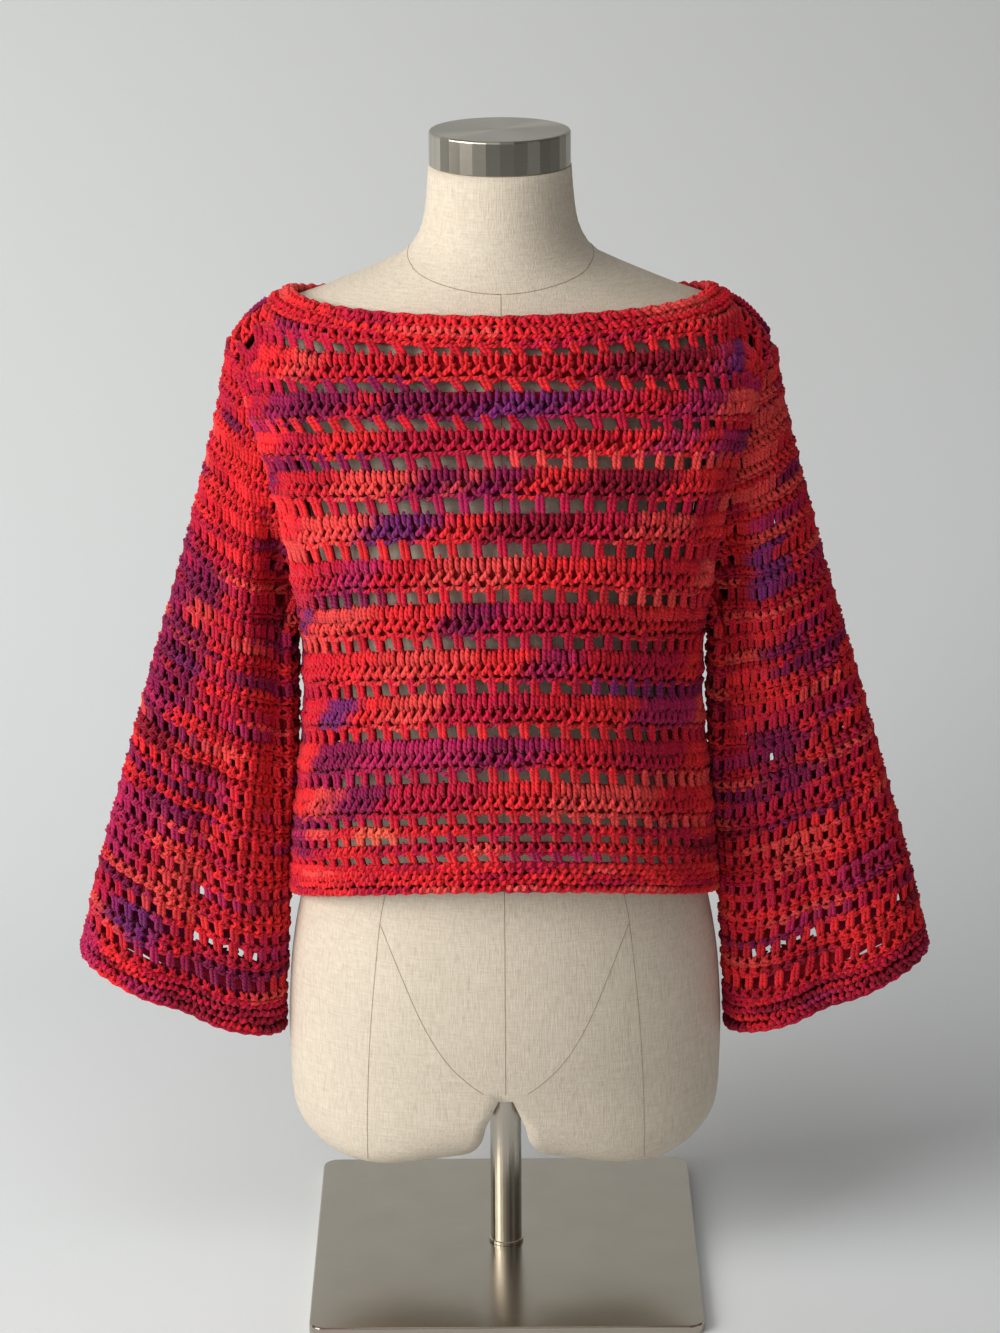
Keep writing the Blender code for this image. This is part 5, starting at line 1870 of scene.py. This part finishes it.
@dataclass
class Studio:
    """Floor, backdrop, soft lights and the camera of the photo."""

    camera_distance: float = 2.83
    camera_height: float = 1.4017
    camera_side: float = -0.0022
    pitch_degrees: float = 17.92
    roll_degrees: float = -0.36
    focal_pixels: float = 3944.0
    frame_pixels: float = 1333.0
    sensor: float = 36.0
    rise: float = -0.00225
    air_colour: tuple = (0.90, 0.89, 0.87, 1.0)
    air_strength: float = 0.145
    WALL_COLOUR = (197, 199, 196)
    FLOOR_COLOUR = (235, 239, 241)
    FLOOR_FRONT = -6.0
    HALF_WIDTH = 5.0
    BEND_START = 0.55
    BEND_RADIUS = 0.75
    BEND_STEPS = 12
    WALL_PLACE = 1.30
    WALL_HEIGHT = 5.0
    FLOOR_DROP = 0.0002

    def backdrop(self) -> None:
        """A pale floor that curves up into the wall."""
        work = bmesh.new()
        profile = [(self.FLOOR_FRONT, 0.0), (self.BEND_START, 0.0)]
        for step in range(1, self.BEND_STEPS + 1):
            angle = math.radians(90.0 * step / self.BEND_STEPS)
            profile.append((self.BEND_START + self.BEND_RADIUS * math.sin(angle),
                            self.BEND_RADIUS * (1.0 - math.cos(angle))))
        profile.append((self.WALL_PLACE, self.WALL_HEIGHT))
        rows = [[work.verts.new((x, y, z - self.FLOOR_DROP))
                 for x in (-self.HALF_WIDTH, self.HALF_WIDTH)] for y, z in profile]
        for low, high in zip(rows, rows[1:]):
            work.faces.new((low[0], low[1], high[1], high[0]))
        item = smooth_item("backdrop", work)
        finish = PlainFinish("studio_wall", self.WALL_COLOUR, self.FLOOR_COLOUR)
        item.data.materials.append(finish.material())

    @staticmethod
    def light(lamp: Lamp) -> None:
        """Hang a soft light that faces its aim, its size in metres and its power in watts."""
        data = bpy.data.lights.new(lamp.name, "AREA")
        data.shape = "RECTANGLE"
        data.size, data.size_y = lamp.size
        data.energy = lamp.power
        data.color = lamp.colour
        item = link_item(lamp.name, data)
        item.location = lamp.place
        direction = Vector(lamp.aim) - Vector(lamp.place)
        item.rotation_euler = direction.to_track_quat("-Z", "Y").to_euler()

    def camera(self) -> None:
        """Set the camera at the photo's angle."""
        data = bpy.data.cameras.new("photo_camera")
        data.sensor_width = self.sensor
        data.lens = self.focal_pixels * self.sensor / self.frame_pixels
        data.shift_y = self.rise
        data.clip_end = 50.0
        item = link_item("photo_camera", data)
        tilt = Matrix.Rotation(math.radians(90.0 - self.pitch_degrees), 4, "X")
        roll = Matrix.Rotation(math.radians(self.roll_degrees), 4, "Z")
        place = Matrix.Translation((self.camera_side, -self.camera_distance, self.camera_height))
        item.matrix_world = place @ tilt @ roll
        bpy.context.scene.camera = item

    def make(self) -> None:
        """Set up the whole studio."""
        self.camera()
        self.backdrop()
        for lamp in LAMPS:
            self.light(lamp)
        world = bpy.data.worlds.new("studio_air")
        world.use_nodes = True
        air = world.node_tree.nodes["Background"]
        air.inputs["Color"].default_value = self.air_colour
        air.inputs["Strength"].default_value = self.air_strength
        scene = bpy.context.scene
        scene.world = world
        scene.view_settings.view_transform = "Standard"


FRONT_CREASES = table_of(
    Crease,
    (-0.66, 0.590, 0.735, 0.10, 0.0030, 0.10),
    (-0.84, 0.560, 0.720, 0.06, -0.0030, 0.06),
    (0.80, 0.570, 0.730, 0.07, -0.0028, -0.08),
    (0.62, 0.600, 0.740, 0.11, 0.0024, -0.10),
    (-0.30, 0.400, 0.560, 0.16, -0.0018, 0.20),
    (0.34, 0.380, 0.540, 0.15, 0.0018, -0.18),
)
BACK_CREASES = table_of(
    Crease,
    (-0.70, 0.580, 0.730, 0.09, 0.0028, 0.10),
    (0.74, 0.570, 0.725, 0.08, 0.0026, -0.08),
    (-0.20, 0.400, 0.580, 0.16, -0.0020, 0.16),
    (0.36, 0.390, 0.560, 0.14, 0.0018, -0.20),
)
FRONT_PATCHES = table_of(
    Patch,
    (0.735, 0.742, 0.70, 0.10, Tint.VIOLET),
    (0.735, 0.742, -0.58, 0.07, Tint.CORAL),
    (0.706, 0.722, -0.42, 0.40, Tint.PLUM),
    (0.706, 0.722, 0.05, 0.10, Tint.VIOLET),
    (0.706, 0.722, 0.20, 0.09, Tint.MAGENTA),
    (0.683, 0.694, 0.48, 0.07, Tint.VIOLET),
    (0.683, 0.694, -0.10, 0.16, Tint.CRIMSON),
    (0.655, 0.668, -0.17, 0.15, Tint.PLUM),
    (0.655, 0.668, 0.10, 0.10, Tint.SCARLET),
    (0.625, 0.636, -0.62, 0.20, Tint.CORAL),
    (0.625, 0.636, 0.44, 0.14, Tint.CORAL),
    (0.594, 0.602, 0.30, 0.14, Tint.SCARLET),
    (0.558, 0.570, -0.14, 0.09, Tint.PLUM),
    (0.558, 0.570, -0.86, 0.08, Tint.VIOLET),
    (0.524, 0.534, -0.28, 0.16, Tint.CORAL),
    (0.509, 0.515, 0.42, 0.13, Tint.VIOLET),
    (0.490, 0.500, 0.62, 0.16, Tint.MAGENTA),
    (0.455, 0.465, -0.22, 0.28, Tint.MAGENTA),
    (0.455, 0.465, -0.02, 0.08, Tint.PLUM),
    (0.420, 0.432, -0.50, 0.14, Tint.PLUM),
    (0.390, 0.406, -0.40, 0.09, Tint.TANGERINE),
    (0.386, 0.402, 0.14, 0.14, Tint.CRIMSON),
    (0.380, 0.400, -0.80, 0.10, Tint.PLUM),
    (0.380, 0.400, 0.76, 0.12, Tint.GARNET),
)
LEFT_PATCHES = table_of(
    Patch,
    (0.225, 0.345, 0.07, 0.10, Tint.PLUM),
    (0.290, 0.316, 0.14, 0.05, Tint.CORAL),
    (0.255, 0.270, 0.13, 0.03, Tint.VIOLET),
    (0.090, 0.150, 0.06, 0.09, Tint.MAGENTA),
    (0.060, 0.125, 0.21, 0.05, Tint.CORAL),
    (0.030, 0.060, 0.14, 0.05, Tint.VIOLET),
    (0.000, 0.040, 0.02, 0.05, Tint.MAGENTA),
    (0.380, 0.520, 0.30, 0.12, Tint.SCARLET),
    (0.100, 0.220, 0.40, 0.08, Tint.SCARLET),
)
RIGHT_PATCHES = table_of(
    Patch,
    (0.330, 0.370, 0.22, 0.06, Tint.VIOLET),
    (0.180, 0.230, 0.26, 0.08, Tint.PLUM),
    (0.110, 0.140, 0.27, 0.05, Tint.CORAL),
    (0.075, 0.100, 0.12, 0.08, Tint.MAGENTA),
    (0.030, 0.060, 0.16, 0.08, Tint.SCARLET),
    (0.420, 0.500, 0.20, 0.12, Tint.CORAL),
)
LEFT_CREASES = table_of(
    Crease,
    (0.37, 0.080, 0.500, 0.050, -0.0070, -0.08),
    (0.43, 0.150, 0.520, 0.038, -0.0150, 0.02),
    (0.27, 0.120, 0.460, 0.050, 0.0044, -0.10),
    (0.13, 0.060, 0.320, 0.045, -0.0048, 0.06),
    (0.74, 0.080, 0.400, 0.055, -0.0060, 0.10),
    (0.88, 0.200, 0.440, 0.040, 0.0036, 0.04),
)
RIGHT_CREASES = table_of(
    Crease,
    (0.35, 0.060, 0.480, 0.048, -0.0070, -0.05),
    (0.43, 0.150, 0.520, 0.038, -0.0150, 0.02),
    (0.25, 0.100, 0.420, 0.045, 0.0046, -0.05),
    (0.13, 0.050, 0.320, 0.045, -0.0046, 0.05),
    (0.70, 0.100, 0.420, 0.055, -0.0058, 0.08),
    (0.86, 0.180, 0.420, 0.040, 0.0034, 0.05),
)


def main() -> None:
    """Build the object, piece by piece."""
    logging.basicConfig(level=logging.INFO, format="%(name)s %(message)s")
    bpy.ops.object.select_all(action="DESELECT")
    materials = Materials()
    Studio().make()
    Stand().make(materials)
    DressForm().make(materials)
    BodyPanel("front", -1.0, 5, 11, FRONT_CREASES, FRONT_PATCHES, (0.49, 0.48),
              0.175).make(materials)
    BodyPanel("back", 1.0, 4, 23, BACK_CREASES, (), (0.52, 0.48), 0.171).make(materials)
    RoundEdging("neck_band", NeckSurface(), RowKind.EDGING, 0.0, 1.0, 2, 100, 31, (0.78, 0.017),
                0.00210, sway=0.07).make(materials)
    RoundEdging("hem_band", HemSurface(), RowKind.SEED, Garment.HEM_LEVEL,
                Garment.HEM_BAND_LEVEL, 4, 156, 37, (0.88, 0.0195), 0.00200).make(materials)
    Sleeve("left", -1.0, 0.50, 41, LEFT_CREASES, LEFT_PATCHES).make(materials)
    Sleeve("right", 1.0, 0.30, 43, RIGHT_CREASES, RIGHT_PATCHES).make(materials)
    Seams().make(materials)


if __name__ == "__main__":
    main()
